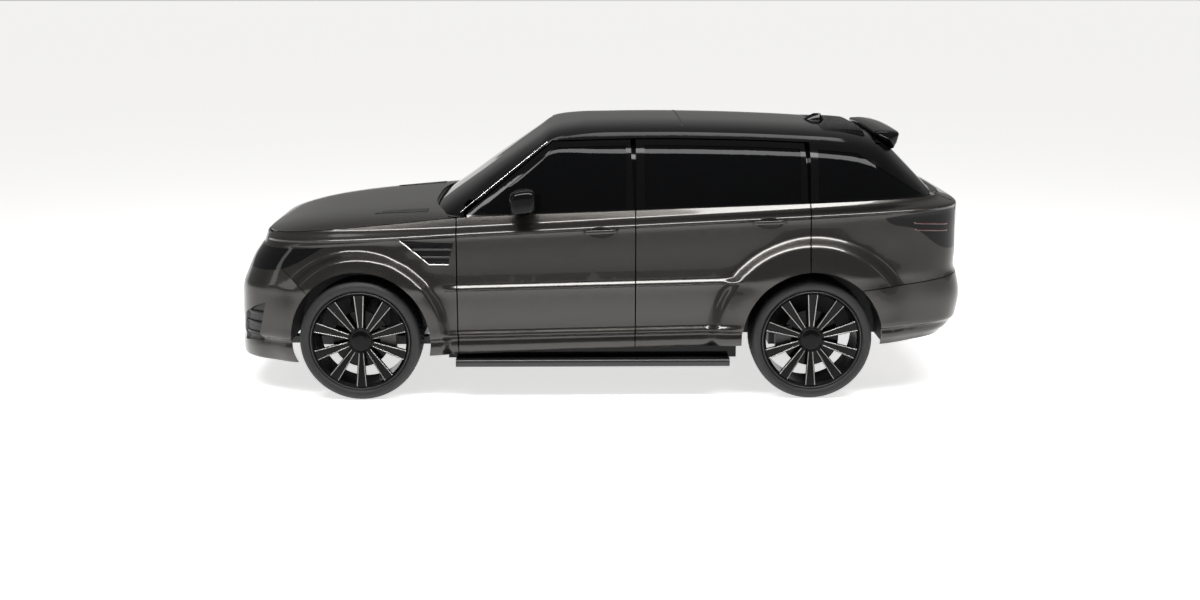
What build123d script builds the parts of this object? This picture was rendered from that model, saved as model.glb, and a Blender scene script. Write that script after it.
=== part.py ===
"""Five-door sport utility vehicle, one STEP file for each named piece.

Millimetres. +X points to the nose, +Y to the left side and +Z up. The ground is z = 0.
"""
from build123d import *
from math import cos, radians, sin
import os

import numpy as np
from scipy.interpolate import PchipInterpolator

# Overall size
WHEELBASE = 2923
FRONT_OVERHANG = 880
REAR_OVERHANG = 1047
HALF_WIDTH = 972
ROOF_HEIGHT = 1766

# Wheels and tyres
TYRE_RADIUS = 395
TYRE_WIDTH = 284
RIM_RADIUS = 325
WHEEL_PLANE = 825
ARCH_RADIUS = 456
SPOKE_COUNT = 10

# Sheet and shut gaps
SKIN = 5
SHUT_GAP = 8
LID_GAP = 10
MOVING_GAP = 7
RUNNING_CLEARANCE = 0.05
DOOR_DEPTH = 85
LID_DEPTH = 34
FRAME_DEPTH = 78
FRAME_STEP = 18
GLASS = 5

# Positions along the car
X_FRONT = (WHEELBASE + FRONT_OVERHANG + REAR_OVERHANG) / 2
X_REAR = -X_FRONT
X_FRONT_AXLE = X_FRONT - FRONT_OVERHANG
X_REAR_AXLE = X_FRONT_AXLE - WHEELBASE
X_DOOR_FRONT = X_FRONT_AXLE - 633
X_DOOR_REAR = X_REAR_AXLE + 26
X_DOOR_MIDDLE = (X_DOOR_FRONT + X_DOOR_REAR) / 2 - 13
X_HEADER = X_DOOR_FRONT - 592
X_ROOF_END = X_REAR_AXLE - 432
X_COWL = X_DOOR_FRONT + 172
X_FIREWALL = X_FRONT_AXLE - 460
X_KICK_UP = X_REAR_AXLE + 498

# Body levels from the floor to the belt: height at the front axle, rise in mm per metre towards
# the tail, inset from the half width, nose setback, tail setback, dip per mm along the bonnet
BODY_LEVELS = np.array([
    [180, 0, 120, 110, 176, 0],
    [268, 31, 64, 4, 110, 0],
    [330, 27, 36, 8, 66, 0],
    [385, 23, 42, 12, 36, 0],
    [413, 21, 14, 14, 22, 0],
    [560, 22, 8, 18, 0, 0],
    [700, 25, 4, 26, 34, 0],
    [722, 25, 0, 30, 44, 0],
    [900, 35, 12, 104, 46, 0],
    [1035, 48, 18, 176, 46, 0.02],
    [1056, 50, 14, 184, 48, 0.03],
    [1100, 45, 30, 190, 82, 0.05],
    [1173, 36.6, 66, 206, 160, 0.07],
    [1250, 36.6, 116, 240, 222, 0.07],
])
ROWS_PER_LEVEL = 2
SURFACE_FIT = 1.0
NOSE_SQUARENESS = 5.0
TAIL_SQUARENESS = 6.5
POINTS_ROUND = 90
DIP_START = X_DOOR_FRONT - 37
DIP_BLEND = 60

# Wheel arch flares: outer radius and bulge
FRONT_FLARE = (640, 32)
REAR_FLARE = (720, 38)
FLARE_INNER = 480

# Upper body stations: x, height of the centreline, half width of the base, corner powers p and q
CANOPY_BASE = 1000
CANOPY_LEAN = 0.147
CANOPY_STATIONS = np.array([
    [X_HEADER + 930, 1090, 930, 2.6, 4.0],
    [X_HEADER + 790, 1186, 930, 2.7, 4.2],
    [X_HEADER + 610, 1310, 932, 2.8, 4.5],
    [X_HEADER + 380, 1468, 934, 4.1, 6.0],
    [X_HEADER + 180, 1603, 936, 4.6, 7.2],
    [X_HEADER + 80, 1670, 937, 4.6, 9.0],
    [X_HEADER, ROOF_HEIGHT - 46, 938, 5.0, 11.0],
    [X_HEADER - 120, ROOF_HEIGHT - 18, 938, 4.6, 10.0],
    [X_HEADER - 320, ROOF_HEIGHT - 5, 938, 4.2, 8.4],
    [X_HEADER - 720, ROOF_HEIGHT, 938, 4.1, 8.0],
    [X_HEADER - 1120, ROOF_HEIGHT - 6, 938, 4.1, 8.0],
    [X_REAR_AXLE + 138, ROOF_HEIGHT - 22, 938, 4.1, 8.0],
    [X_REAR_AXLE - 222, ROOF_HEIGHT - 46, 934, 4.0, 7.6],
    [X_REAR_AXLE - 362, ROOF_HEIGHT - 66, 928, 3.8, 7.0],
    [X_REAR_AXLE - 452, ROOF_HEIGHT - 89, 922, 3.5, 6.4],
    [X_REAR_AXLE - 506, ROOF_HEIGHT - 114, 918, 3.2, 6.0],
    [X_REAR_AXLE - 552, ROOF_HEIGHT - 149, 914, 3.0, 5.6],
    [X_REAR_AXLE - 612, ROOF_HEIGHT - 202, 910, 2.7, 5.3],
    [X_REAR_AXLE - 696, 1482, 905, 2.5, 5.0],
    [X_REAR_AXLE - 830, 1340, 900, 2.4, 5.0],
    [X_REAR_AXLE - 940, 1227, 895, 2.4, 5.0],
])
CANOPY_SLICES = 48
CANOPY_POINTS = 41

# Bonnet crown over the belt line
CROWN_REAR = 46
CROWN_GROWTH = 0.065
CROWN_SOFT = 2.5
CROWN_EDGE = 10
CROWN_SHARE = 0.55


def ease(t):
    """Smooth step from 0 to 1."""
    t = np.clip(t, 0, 1)
    return t * t * (3 - 2 * t)


def dip_run(x):
    """Distance ahead of the dip's start, rounded at the start."""
    return DIP_BLEND * np.log1p(np.exp(np.clip((x - DIP_START) / DIP_BLEND, -50, 50)))


def level_line(level, x):
    """Height of a body level at x."""
    height, rise, _, _, _, dip = BODY_LEVELS[level]
    return height + rise / 1000 * (X_FRONT_AXLE - x) - dip * dip_run(x)


BELT = len(BODY_LEVELS) - 2
SILL = 1


def belt(x):
    return level_line(BELT, x)


def plan_outline(half_width, nose, tail):
    """Left half of a body level from nose to tail, a superellipse at equal spacing."""
    angle = np.linspace(0, np.pi, 4001)
    along = np.cos(angle)
    across = np.sin(angle)
    power = np.where(along > 0, NOSE_SQUARENESS, TAIL_SQUARENESS)
    reach = np.where(along > 0, nose, -tail)
    x = np.sign(along) * np.abs(along) ** (2 / power) * reach
    y = half_width * np.abs(across) ** (2 / power)
    length = np.concatenate(([0], np.cumsum(np.hypot(np.diff(x), np.diff(y)))))
    even = np.linspace(0, length[-1], POINTS_ROUND)
    return np.interp(even, length, x), np.interp(even, length, y)


def body_half(depth):
    """Left half of the lower body, set in from the outer skin by depth."""
    last = len(BODY_LEVELS) - 1
    level = np.linspace(0, last, ROWS_PER_LEVEL * last + 1)
    table = PchipInterpolator(np.arange(last + 1), BODY_LEVELS)(level)
    rows = []
    for height, rise, inset, nose, tail, dip in table:
        x, y = plan_outline(HALF_WIDTH - inset - depth, X_FRONT - nose - depth, X_REAR + tail + depth)
        z = height + rise / 1000 * (X_FRONT_AXLE - x) - dip * dip_run(x)
        for axle, (outer, bulge) in ((X_FRONT_AXLE, FRONT_FLARE), (X_REAR_AXLE, REAR_FLARE)):
            radius = np.hypot(x - axle, z - TYRE_RADIUS)
            side = ease((y - 600) / 200)
            y = y + bulge * side * ease((outer - radius) / (outer - FLARE_INNER))
        rows.append([Vector(*point) for point in zip(x, y, z)])
    skin = Face.make_surface_from_array_of_points(rows, tol=SURFACE_FIT, min_deg=3, max_deg=3)
    return Solid.extrude(skin, Vector(0, -HALF_WIDTH - 200, 0))


def canopy_profile(x):
    """Height of the upper body's centreline at x."""
    order = np.argsort(CANOPY_STATIONS[:, 0])
    return PchipInterpolator(CANOPY_STATIONS[order, 0], CANOPY_STATIONS[order, 1])(x)


def canopy(depth):
    """Upper body from windscreen to tailgate glass, set in by depth."""
    order = np.argsort(CANOPY_STATIONS[:, 0])
    table = CANOPY_STATIONS[order]
    spline = PchipInterpolator(table[:, 0], table[:, 1:])
    run = np.linspace(table[0, 0], table[-1, 0], 2001)
    length = np.concatenate(([0], np.cumsum(np.hypot(np.diff(run), np.diff(spline(run)[:, 0])))))
    stations = np.interp(np.linspace(0, length[-1], CANOPY_SLICES), length, run)
    sides = np.linspace(0, np.pi, 2001)
    rows = []
    for x in stations:
        top, half, p, q = spline(x)
        rise = np.sin(sides) ** (2 / q)
        y = (half - depth) * (1 - CANOPY_LEAN * rise) * np.sign(np.cos(sides))
        y = y * np.abs(1 - rise ** q) ** (1 / p)
        z = CANOPY_BASE - depth + rise * (top - CANOPY_BASE)
        girth = np.concatenate(([0], np.cumsum(np.hypot(np.diff(y), np.diff(z)))))
        even = np.linspace(0, girth[-1], CANOPY_POINTS)
        ys = np.interp(even, girth, y)
        zs = np.interp(even, girth, z)
        rows.append([Vector(x, b, c) for b, c in zip(ys, zs)])
    skin = Face.make_surface_from_array_of_points(rows, tol=SURFACE_FIT, min_deg=3, max_deg=3)
    return Solid.extrude(skin, Vector(0, 0, -900))


def bonnet_block(drop):
    """Everything below the bonnet surface, lowered by drop."""
    inset, nose = BODY_LEVELS[BELT, 2:4]
    x = np.linspace(X_COWL - 260, X_FRONT - nose + 60, 36)
    y = np.linspace(-HALF_WIDTH, HALF_WIDTH, 41)
    rows = []
    for station in x:
        power = NOSE_SQUARENESS
        radius = (station / (X_FRONT - nose)) ** power + np.abs(y / (HALF_WIDTH - inset)) ** power
        radius = radius ** (1 / power)
        crown = CROWN_REAR + CROWN_GROWTH * (station - X_COWL)
        fall = CROWN_SHARE * radius ** CROWN_SOFT + (1 - CROWN_SHARE) * radius ** CROWN_EDGE
        z = belt(station) + crown * (1 - fall) - drop
        rows.append([Vector(station, b, c) for b, c in zip(y, z)])
    skin = Face.make_surface_from_array_of_points(rows, tol=SURFACE_FIT, min_deg=3, max_deg=3)
    return Solid.extrude(skin, Vector(0, 0, -700))


def drawn(segments, lift):
    """Face inside joined segments: two points give a line, more give a smooth curve."""
    edges = []
    for segment in segments:
        points = [lift(*point) for point in segment]
        if len(points) == 2:
            edges.append(Edge.make_line(*points))
        else:
            edges.append(Edge.make_spline(points))
    return Face(Wire(edges))


def lines(*corners):
    """Closed polygon as segments."""
    return [[a, b] for a, b in zip(corners, corners[1:] + corners[:1])]


def side_block(segments, near=0, far=1400):
    """Side-view outline in x and z, run across from near to far."""
    face = drawn(segments, lambda a, b: Vector(a, near, b))
    return Solid.extrude(face, Vector(0, far - near, 0))


def front_block(segments, rear, front):
    """Front-view outline in y and z, run along from rear to front."""
    face = drawn(segments, lambda a, b: Vector(rear, a, b))
    return Solid.extrude(face, Vector(front - rear, 0, 0))


def plan_block(segments, low=0, high=2000):
    """Plan outline in x and y, run up from low to high."""
    face = drawn(segments, lambda a, b: Vector(a, b, low))
    return Solid.extrude(face, Vector(0, 0, high - low))


def box(x0, x1, y0, y1, z0, z1):
    return Pos((x0 + x1) / 2, (y0 + y1) / 2, (z0 + z1) / 2) * Box(x1 - x0, y1 - y0, z1 - z0)


def rod(start, end, radius):
    """Round bar between two points."""
    start = Vector(*start)
    run = Vector(*end) - start
    return Plane(start, z_dir=run) * Cylinder(
        radius, run.length, align=(Align.CENTER, Align.CENTER, Align.MIN))


def right(shape):
    return mirror(shape, about=Plane.XZ)


def both(shape):
    """A piece and its mirror image as two separate solids."""
    return Compound(children=list(solids(shape)) + list(solids(right(shape))))


def solids(shape):
    return [solid for solid in shape.solids()]


def curve(function, x0, x1, shift=0, count=9):
    """Points along a line z = function(x)."""
    return [(float(x), float(function(x)) + shift) for x in np.linspace(x0, x1, count)]


NODES = {}


def keep(name, shape):
    NODES[name] = shape


# Shared surfaces
BODY = body_half(0)
BODY_SKIN = body_half(SKIN)
BODY_WALL = body_half(DOOR_DEPTH)
BODY_TRIM = body_half(12)
BODY_ROOM = body_half(DOOR_DEPTH + 2 * MOVING_GAP)
UPPER = canopy(0)
UPPER_DOOR = canopy(30)
UPPER_STEP = canopy(30 + FRAME_STEP)
UPPER_FRAME = canopy(FRAME_DEPTH)
ARCHES = [
    rod((axle, 0, TYRE_RADIUS), (axle, 1400, TYRE_RADIUS), ARCH_RADIUS)
    for axle in (X_FRONT_AXLE, X_REAR_AXLE)
]


def sill(x):
    return level_line(SILL, x) + 14


def door_top(x):
    return canopy_profile(x) - 92


def roof_edge(x):
    return canopy_profile(x) - 52


# Windscreen pillar line in side view
PILLAR_LOW = (X_DOOR_FRONT + 18, 1212)
PILLAR_HIGH = (X_HEADER - 18, 1719)
PILLAR_SLOPE = (PILLAR_HIGH[1] - PILLAR_LOW[1]) / (PILLAR_HIGH[0] - PILLAR_LOW[0])


def pillar(x, shift=0):
    """Height of the windscreen pillar's line at x, shifted up."""
    return PILLAR_LOW[1] + PILLAR_SLOPE * (x - PILLAR_LOW[0]) + shift


def pillar_at(z, shift=0):
    return PILLAR_LOW[0] + (z - shift - PILLAR_LOW[1]) / PILLAR_SLOPE


# Door outlines in side view
FRAME_DROP = 62
FRAME_TAPER = 26
FRAME_START = 64
Z_FRAME = float(roof_edge(X_HEADER - 40)) - 18


def front_door_upper(grow, taper):
    """Window frame of the front door, grown all round; its rear edge leaning forward by taper."""
    low = 1130
    front = X_DOOR_FRONT - FRAME_START + grow
    rear = X_DOOR_MIDDLE + SHUT_GAP / 2 - grow
    shift = -FRAME_DROP + 1.3 * grow
    bend = pillar_at(Z_FRAME + grow, shift)
    top_rear = (rear + taper, float(door_top(rear)) + grow)
    return [
        [(rear, low), (front, low)],
        [(front, low), (front, pillar(front, shift))],
        [(front, pillar(front, shift)), (bend, Z_FRAME + grow)],
        [(bend, Z_FRAME + grow), top_rear],
        [top_rear, (rear, low)],
    ]


def rear_door_upper(grow, taper):
    """Window frame of the rear door, grown all round; its rear edge leaning forward by taper."""
    low = 1130
    front = X_DOOR_MIDDLE - SHUT_GAP / 2 + grow
    rear = X_DOOR_REAR + SHUT_GAP / 2 - grow
    top = curve(door_top, front, rear + taper, grow)
    return [[(rear, low), (front, low)], [(front, low), top[0]], top, [top[-1], (rear, low)]]


def front_door_lower(inset):
    front = X_DOOR_FRONT - SHUT_GAP / 2 - inset
    rear = X_DOOR_MIDDLE + SHUT_GAP / 2 + inset
    top = curve(belt, front, rear, -inset / 4)
    base = curve(sill, rear, front, inset * 2.5)
    return [base, [base[-1], top[0]], top, [top[-1], base[0]]]


def rear_door_lower(inset):
    front = X_DOOR_MIDDLE - SHUT_GAP / 2 - inset
    rear = X_DOOR_REAR + SHUT_GAP / 2 + inset
    top = curve(belt, front, rear, -inset / 4)
    base = curve(sill, rear, front, inset * 2.5)
    return [base, [base[-1], top[0]], top, [top[-1], base[0]]]


def arch_cut(axle, radius):
    return rod((axle, 0, TYRE_RADIUS), (axle, 1400, TYRE_RADIUS), radius)


# Doors: outer skin over the whole outline, thick inner part set in behind it
DOOR_INSET = 46
HINGE_BACK = 51
HINGE_PLANE = HALF_WIDTH - 34
HINGE_HEIGHTS = (500, 830)
HINGE_PIN = 7
HINGE_EYE = 14
HINGE_LEAF = 24


def door_shell(outer, inner, upper, window, axle):
    shell = BODY & side_block(outer)
    core = side_block(inner)
    if axle is not None:
        shell = shell - arch_cut(axle, ARCH_RADIUS)
        core = core - arch_cut(axle, ARCH_RADIUS + DOOR_INSET)
    shell = shell - BODY_WALL - (BODY_SKIN - core)
    frame = (UPPER & side_block(upper, 300)) - UPPER_DOOR - side_block(window, 300)
    return shell + frame


def hinge_leaves(x):
    """Door eyes and their arms, and the pins and arms of the body, for the hinges at x."""
    door_side = []
    body_side = []
    for z in HINGE_HEIGHTS:
        eye = rod((x, HINGE_PLANE, z), (x, HINGE_PLANE, z + HINGE_LEAF), HINGE_EYE)
        arm = box(x - 110, x, HINGE_PLANE - HINGE_EYE, HINGE_PLANE, z, z + HINGE_LEAF)
        hole = rod((x, HINGE_PLANE, z - 1), (x, HINGE_PLANE, z + HINGE_LEAF + 1),
                   HINGE_PIN + RUNNING_CLEARANCE)
        door_side.append(eye + arm - hole)
        base = z - MOVING_GAP - HINGE_LEAF
        knuckle = rod((x, HINGE_PLANE, base), (x, HINGE_PLANE, base + HINGE_LEAF), HINGE_EYE - 2)
        leg = box(x - 12, x + 12, POST_OUT - 10, HINGE_PLANE, base, base + HINGE_LEAF)
        pin = rod((x, HINGE_PLANE, base), (x, HINGE_PLANE, z + HINGE_LEAF), HINGE_PIN)
        body_side.append(knuckle + leg + pin)
    return door_side, body_side


POST_OUT = 835
POST_IN = 720
ROCKER_IN = 690
ROCKER_LOW = 255
ROCKER_TOP = 420
FLOOR_LOW = 290
FLOOR_TOP = 330
WINDOW_EDGE = 34


def front_window():
    low = [(x, z + 14) for x, z in curve(belt, X_DOOR_MIDDLE + 60, X_DOOR_FRONT - 150)]
    shift = -FRAME_DROP - 48
    high = Z_FRAME - WINDOW_EDGE
    bend = (pillar_at(high, shift), high)
    top_rear = (X_DOOR_MIDDLE + 60, float(door_top(X_DOOR_MIDDLE)) - WINDOW_EDGE)
    return [low, [low[-1], (low[-1][0], pillar(low[-1][0], shift))],
            [(low[-1][0], pillar(low[-1][0], shift)), bend], [bend, top_rear], [top_rear, low[0]]]


def rear_window():
    low = [(x, z + 14) for x, z in curve(belt, X_DOOR_REAR + 60, X_DOOR_MIDDLE - 60)]
    top = curve(door_top, X_DOOR_MIDDLE - 60, X_DOOR_REAR + 60, -WINDOW_EDGE)
    return [low, [low[-1], top[0]], top, [top[-1], low[0]]]


GLASS_OUT = canopy(3)
GLASS_IN = canopy(3 + GLASS)

front_hinge_x = X_DOOR_FRONT - SHUT_GAP / 2 - HINGE_BACK
rear_hinge_x = X_DOOR_MIDDLE - SHUT_GAP / 2 - HINGE_BACK
front_eyes, front_pins = hinge_leaves(front_hinge_x)
rear_eyes, rear_pins = hinge_leaves(rear_hinge_x)

front_door = door_shell(front_door_lower(0), front_door_lower(DOOR_INSET), front_door_upper(0, FRAME_TAPER),
                        front_window(), None)
rear_door = door_shell(rear_door_lower(0), rear_door_lower(DOOR_INSET), rear_door_upper(0, FRAME_TAPER),
                       rear_window(), X_REAR_AXLE)
hinge_room = [
    box(x - 38, x + 60, 0, HALF_WIDTH - SKIN - 8, z - MOVING_GAP - HINGE_LEAF - 30, z + HINGE_LEAF + 30)
    for x in (front_hinge_x, rear_hinge_x) for z in HINGE_HEIGHTS
]
for room in hinge_room:
    front_door = front_door - (room & BODY_SKIN)
    rear_door = rear_door - (room & BODY_SKIN)
for eye in front_eyes:
    front_door = front_door + eye
for eye in rear_eyes:
    rear_door = rear_door + eye
front_glass = (GLASS_OUT & side_block(front_window(), 300)) - GLASS_IN
rear_glass = (GLASS_OUT & side_block(rear_window(), 300)) - GLASS_IN

# Door mirrors, each a shell on a short arm fixed to the door
MIRROR_X = X_DOOR_FRONT - 440
MIRROR_LOW = 1212
mirror_arm = box(MIRROR_X - 20, MIRROR_X + 90, 860, 1000, MIRROR_LOW - 40, MIRROR_LOW + 10)
mirror_case = box(MIRROR_X - 90, MIRROR_X + 105, 925, 1085, MIRROR_LOW, MIRROR_LOW + 186)
mirror_case = fillet(mirror_case.edges(), 38)
left_mirror = mirror_case + (mirror_arm - front_door)

for side, place in (("left", lambda s: s), ("right", right)):
    keep(f"front_door_{side}", place(front_door))
    keep(f"rear_door_{side}", place(rear_door))
    keep(f"front_door_glass_{side}", place(front_glass))
    keep(f"rear_door_glass_{side}", place(rear_glass))
    keep(f"mirror_{side}", place(left_mirror))

# Bonnet hinge axis in x and z, its pins and the eyes' places across
BONNET_HINGE = (X_COWL - 139, 1180)
BONNET_PIN = 6
LUG_IN = 848
LUG_OUT = 872

# Body side frame: windscreen pillar, roof rail, middle and rear pillars, posts and rocker
TAILGATE_EDGE = [(0, 806), (640, 806), (690, 1000), (700, 1230), (612, 1393), (548, 1600), (540, 1800)]


def tailgate_view(grow):
    """Half outline of the tailgate seen from behind."""
    low = TAILGATE_EDGE[0][1] - grow
    points = [(-1, low), (TAILGATE_EDGE[1][0] + grow, low)]
    points += [(y + grow, z) for y, z in TAILGATE_EDGE[2:]]
    points += [(-1, TAILGATE_EDGE[-1][1])]
    return lines(*points)


rail = curve(roof_edge, X_HEADER, X_ROOF_END - 40)
header_corner = (X_HEADER, pillar(X_HEADER))
frame_side = [
    [(X_REAR + 20, 1180), (X_DOOR_FRONT + 60, 1180)],
    [(X_DOOR_FRONT + 60, 1180), (pillar_at(1190), 1190)],
    [(pillar_at(1190), 1190), header_corner],
    [header_corner, rail[0]],
    rail,
    [rail[-1], (X_ROOF_END - 40, 1900)],
    [(X_ROOF_END - 40, 1900), (X_REAR + 20, 1900)],
    [(X_REAR + 20, 1900), (X_REAR + 20, 1180)],
]


def quarter_window():
    front = X_DOOR_REAR - 55
    low = [(x, z + 14) for x, z in curve(belt, X_REAR + 335, front)]
    top = curve(door_top, front, X_REAR + 760, -WINDOW_EDGE)
    return [low, [low[-1], top[0]], top, [top[-1], low[0]]]


frame = (UPPER & side_block(frame_side, 300)) - UPPER_FRAME
DOOR_ROOM = SHUT_GAP / 2 + DOOR_INSET - MOVING_GAP
for window in (front_window(), rear_window(), quarter_window()):
    frame = frame - side_block(window, 300)
frame = frame - front_block(tailgate_view(SHUT_GAP), X_REAR - 50, X_ROOF_END)
FLANGE_END = X_REAR_AXLE - 430
tail_belt = [(X_REAR - 50, float(belt(X_REAR - 50))), (FLANGE_END, float(belt(FLANGE_END)))]
frame = frame - side_block(lines(*tail_belt, (FLANGE_END, 1100), (X_REAR - 50, 1100)), 300)
frame = frame - box(X_DOOR_REAR + DOOR_ROOM, X_DOOR_MIDDLE - DOOR_ROOM, 300, 1000, 1100, 1330)
frame = frame - box(X_DOOR_MIDDLE + DOOR_ROOM, X_DOOR_FRONT - DOOR_ROOM, 300, 1000, 1100, 1290)
hinge_post = box(X_DOOR_FRONT - 72, X_DOOR_FRONT + 73, POST_IN, POST_OUT, ROCKER_LOW, 1190)
bonnet_pin = rod((BONNET_HINGE[0], POST_IN + 40, BONNET_HINGE[1]), (BONNET_HINGE[0], LUG_OUT + 6, BONNET_HINGE[1]),
                 BONNET_PIN)
wing_bracket = box(X_DOOR_FRONT + 25, X_DOOR_FRONT + 73, POST_OUT - 20, 1100, 600, 660) & BODY_SKIN
middle_post = box(X_DOOR_MIDDLE - 97, X_DOOR_MIDDLE + 63, POST_IN + 20, POST_OUT, ROCKER_LOW, 1290)
rear_post = box(X_DOOR_REAR - 90, X_DOOR_REAR - 30, POST_IN + 20, POST_OUT, 880, 1330)
rocker = box(X_KICK_UP - 20, X_DOOR_FRONT + 73, ROCKER_IN, POST_OUT, ROCKER_LOW, ROCKER_TOP)
frame = frame + (hinge_post & BODY_ROOM) + (middle_post & BODY_ROOM) + rocker + (rear_post & UPPER)
door_cuts = [side_block(front_door_upper(SHUT_GAP, 0), 300), side_block(rear_door_upper(SHUT_GAP, 0), 300)]
for cut in door_cuts:
    frame = frame - (cut - UPPER_STEP)
frame = frame + bonnet_pin + wing_bracket
for pin in front_pins + rear_pins:
    frame = frame + pin
JACK_X = (X_DOOR_FRONT - 190, X_KICK_UP + 160)
for x in JACK_X:
    frame = frame + box(x - 35, x + 35, POST_OUT - 95, POST_OUT - 25, ROCKER_LOW - 20, ROCKER_LOW)
quarter_glass = (GLASS_OUT & side_block(quarter_window(), 300)) - GLASS_IN
keep("side_frame_left", frame)
keep("side_frame_right", right(frame))
keep("quarter_glass", both(quarter_glass))

# Roof and windscreen
roof_side = [
    rail,
    [rail[-1], (rail[-1][0], 1900)],
    [(rail[-1][0], 1900), (X_HEADER, 1900)],
    [(X_HEADER, 1900), rail[0]],
]
roof = (UPPER & side_block(roof_side, -1400)) - canopy(34)
roof = roof & box(X_ROOF_END + 2, X_HEADER, -1400, 1400, 1000, 2000)
GATE_HINGE = (X_ROOF_END + 40, float(canopy_profile(X_ROOF_END + 40)) - 16)
GATE_ARM_Y = 200
GATE_PIN = 5
gate_pins = []
for side in (1, -1):
    y = side * GATE_ARM_Y
    roof = roof - box(X_ROOF_END - 5, X_ROOF_END + 58, y - 17, y + 17, 1500, 1900)
    ends = [(GATE_HINGE[0], y + reach, GATE_HINGE[1]) for reach in (-22, 22)]
    gate_pins.append(rod(*ends, GATE_PIN))
roof = roof + gate_pins[0] + gate_pins[1]
keep("roof", roof)
screen_low = 1196
screen_side = lines(
    (pillar_at(screen_low), screen_low), (X_HEADER, pillar(X_HEADER)),
    (X_HEADER, 1900), (X_COWL + 200, 1900), (X_COWL + 200, screen_low))
keep("windscreen", (GLASS_OUT & side_block(screen_side, -1400)) - GLASS_IN)

# Bonnet: crowned skin with a thick inner part, hinged at its rear edge
BONNET_TOP = bonnet_block(0)
BONNET_SKIN = bonnet_block(SKIN)


def bonnet_plan(inset):
    """Bonnet outline in plan, set in from the belt line of the nose."""
    level = BODY_LEVELS[BELT]
    x, y = plan_outline(HALF_WIDTH - level[2] - inset, X_FRONT - level[3] - inset, X_REAR)
    nose = [(float(a), float(b)) for a, b in zip(x, y) if a > X_COWL - 60]
    nose = nose[::2]
    corner = (X_COWL - 137 + inset, nose[-1][1] + 1)
    edge = nose + [corner]
    mirrored = [(a, -b) for a, b in reversed(edge)][:-1]
    left_rear = [corner, (X_COWL - 90 + inset, 700), (X_COWL - 20 + inset, 400), (X_COWL + inset, 0)]
    rear = left_rear + [(a, -b) for a, b in reversed(left_rear)][1:]
    return [mirrored + edge, rear]


bonnet = BONNET_TOP & plan_block(bonnet_plan(SKIN + LID_GAP))
bonnet = bonnet - bonnet_block(LID_DEPTH) - (BONNET_SKIN - plan_block(bonnet_plan(60)))


def bonnet_lug():
    """Eye under the rear corner of the bonnet, with its arm and bore."""
    x, z = BONNET_HINGE
    lug = rod((x, LUG_IN, z), (x, LUG_OUT, z), BONNET_PIN + 5)
    lug = lug + box(x, x + 110, LUG_IN, LUG_OUT, z - 8, z + 8)
    lug = lug + (box(x + 60, x + 110, LUG_IN, LUG_OUT, z - 8, z + 80) & bonnet_block(2))
    return lug - rod((x, LUG_IN - 1, z), (x, LUG_OUT + 1, z), BONNET_PIN + RUNNING_CLEARANCE)


lug = bonnet_lug()
bonnet = bonnet + lug + right(lug)
keep("bonnet", bonnet)

# Cowl panel between the bonnet and the windscreen
COWL_HALF = POST_OUT
cowl_plan = lines((X_COWL + 60, -COWL_HALF), (X_COWL + 60, COWL_HALF), (X_COWL - 190, COWL_HALF),
                  (X_COWL - 190, -COWL_HALF))
COWL_DROP = SKIN + MOVING_GAP
cowl = bonnet_block(COWL_DROP) & plan_block(cowl_plan)
cowl = cowl - bonnet_block(COWL_DROP + SKIN) - plan_block(bonnet_plan(SKIN + LID_GAP + 35))
cowl = cowl - UPPER - hinge_post - right(hinge_post)
keep("cowl", Compound(children=[s for s in solids(cowl) if s.volume > 1000]))

# Front wings
LAMP_TIP = (X_FRONT_AXLE + 225, 1000)
lamp_side = [
    [LAMP_TIP, (X_FRONT_AXLE + 430, 982), (X_FRONT_AXLE + 640, 972), (X_FRONT + 20, 955)],
    [(X_FRONT + 20, 955), (X_FRONT + 20, 822)],
    [(X_FRONT + 20, 822), (X_FRONT_AXLE + 640, 832), (X_FRONT_AXLE + 500, 852),
     (X_FRONT_AXLE + 370, 912), LAMP_TIP],
]


def wing_line(shift):
    """Shut line between wing and front bumper in side view."""
    start = (X_FRONT_AXLE + 330 + shift, 700 - shift)
    end = (X_FRONT_AXLE + 520 + shift, 862)
    return start, end


wing_top = curve(belt, X_FRONT + 20, X_DOOR_FRONT + SHUT_GAP / 2, 0, 25)
wing_base = curve(sill, X_DOOR_FRONT + SHUT_GAP / 2, X_FRONT_AXLE - 300)
wing_outer = [
    wing_top,
    [wing_top[-1], wing_base[0]],
    wing_base,
    [wing_base[-1], wing_line(-2)[0]],
    [wing_line(-2)[0], wing_line(-2)[1]],
    [wing_line(-2)[1], (X_FRONT + 20, 870)],
    [(X_FRONT + 20, 870), wing_top[0]],
]
LAMP_EDGE = 490
WING_EDGE = LAMP_EDGE + 140
lamp_block = side_block(lamp_side, LAMP_EDGE)
wing = (BODY & side_block(wing_outer)) - BODY_SKIN - ARCHES[0] - lamp_block
wing = wing - box(X_FRONT_AXLE + 560, X_FRONT + 50, 0, WING_EDGE, 800, 1200)
wing = max(solids(wing), key=lambda s: s.volume)
keep("front_wings", both(wing))

# Front bumper with its grille openings and towing eye boss
nose_top = curve(belt, X_FRONT + 20, X_FRONT_AXLE + 560, -LID_GAP, 9)
bumper_side = [
    nose_top,
    [nose_top[-1], (X_FRONT_AXLE + 560, 866)],
    [(X_FRONT_AXLE + 560, 866), wing_line(2)[1]],
    [wing_line(2)[1], wing_line(2)[0]],
    [wing_line(2)[0], (X_FRONT_AXLE + 300, 228)],
    [(X_FRONT_AXLE + 300, 228), (X_FRONT + 20, 228)],
    [(X_FRONT + 20, 228), nose_top[0]],
]


def upper_grille(lap):
    """Front-view outline of half the upper grille, grown by lap."""
    return lines((-1, 850 - lap), (430 + lap, 850 - lap), (470 + lap, 960), (430 + lap, 985 + lap), (-1, 985 + lap))


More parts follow.
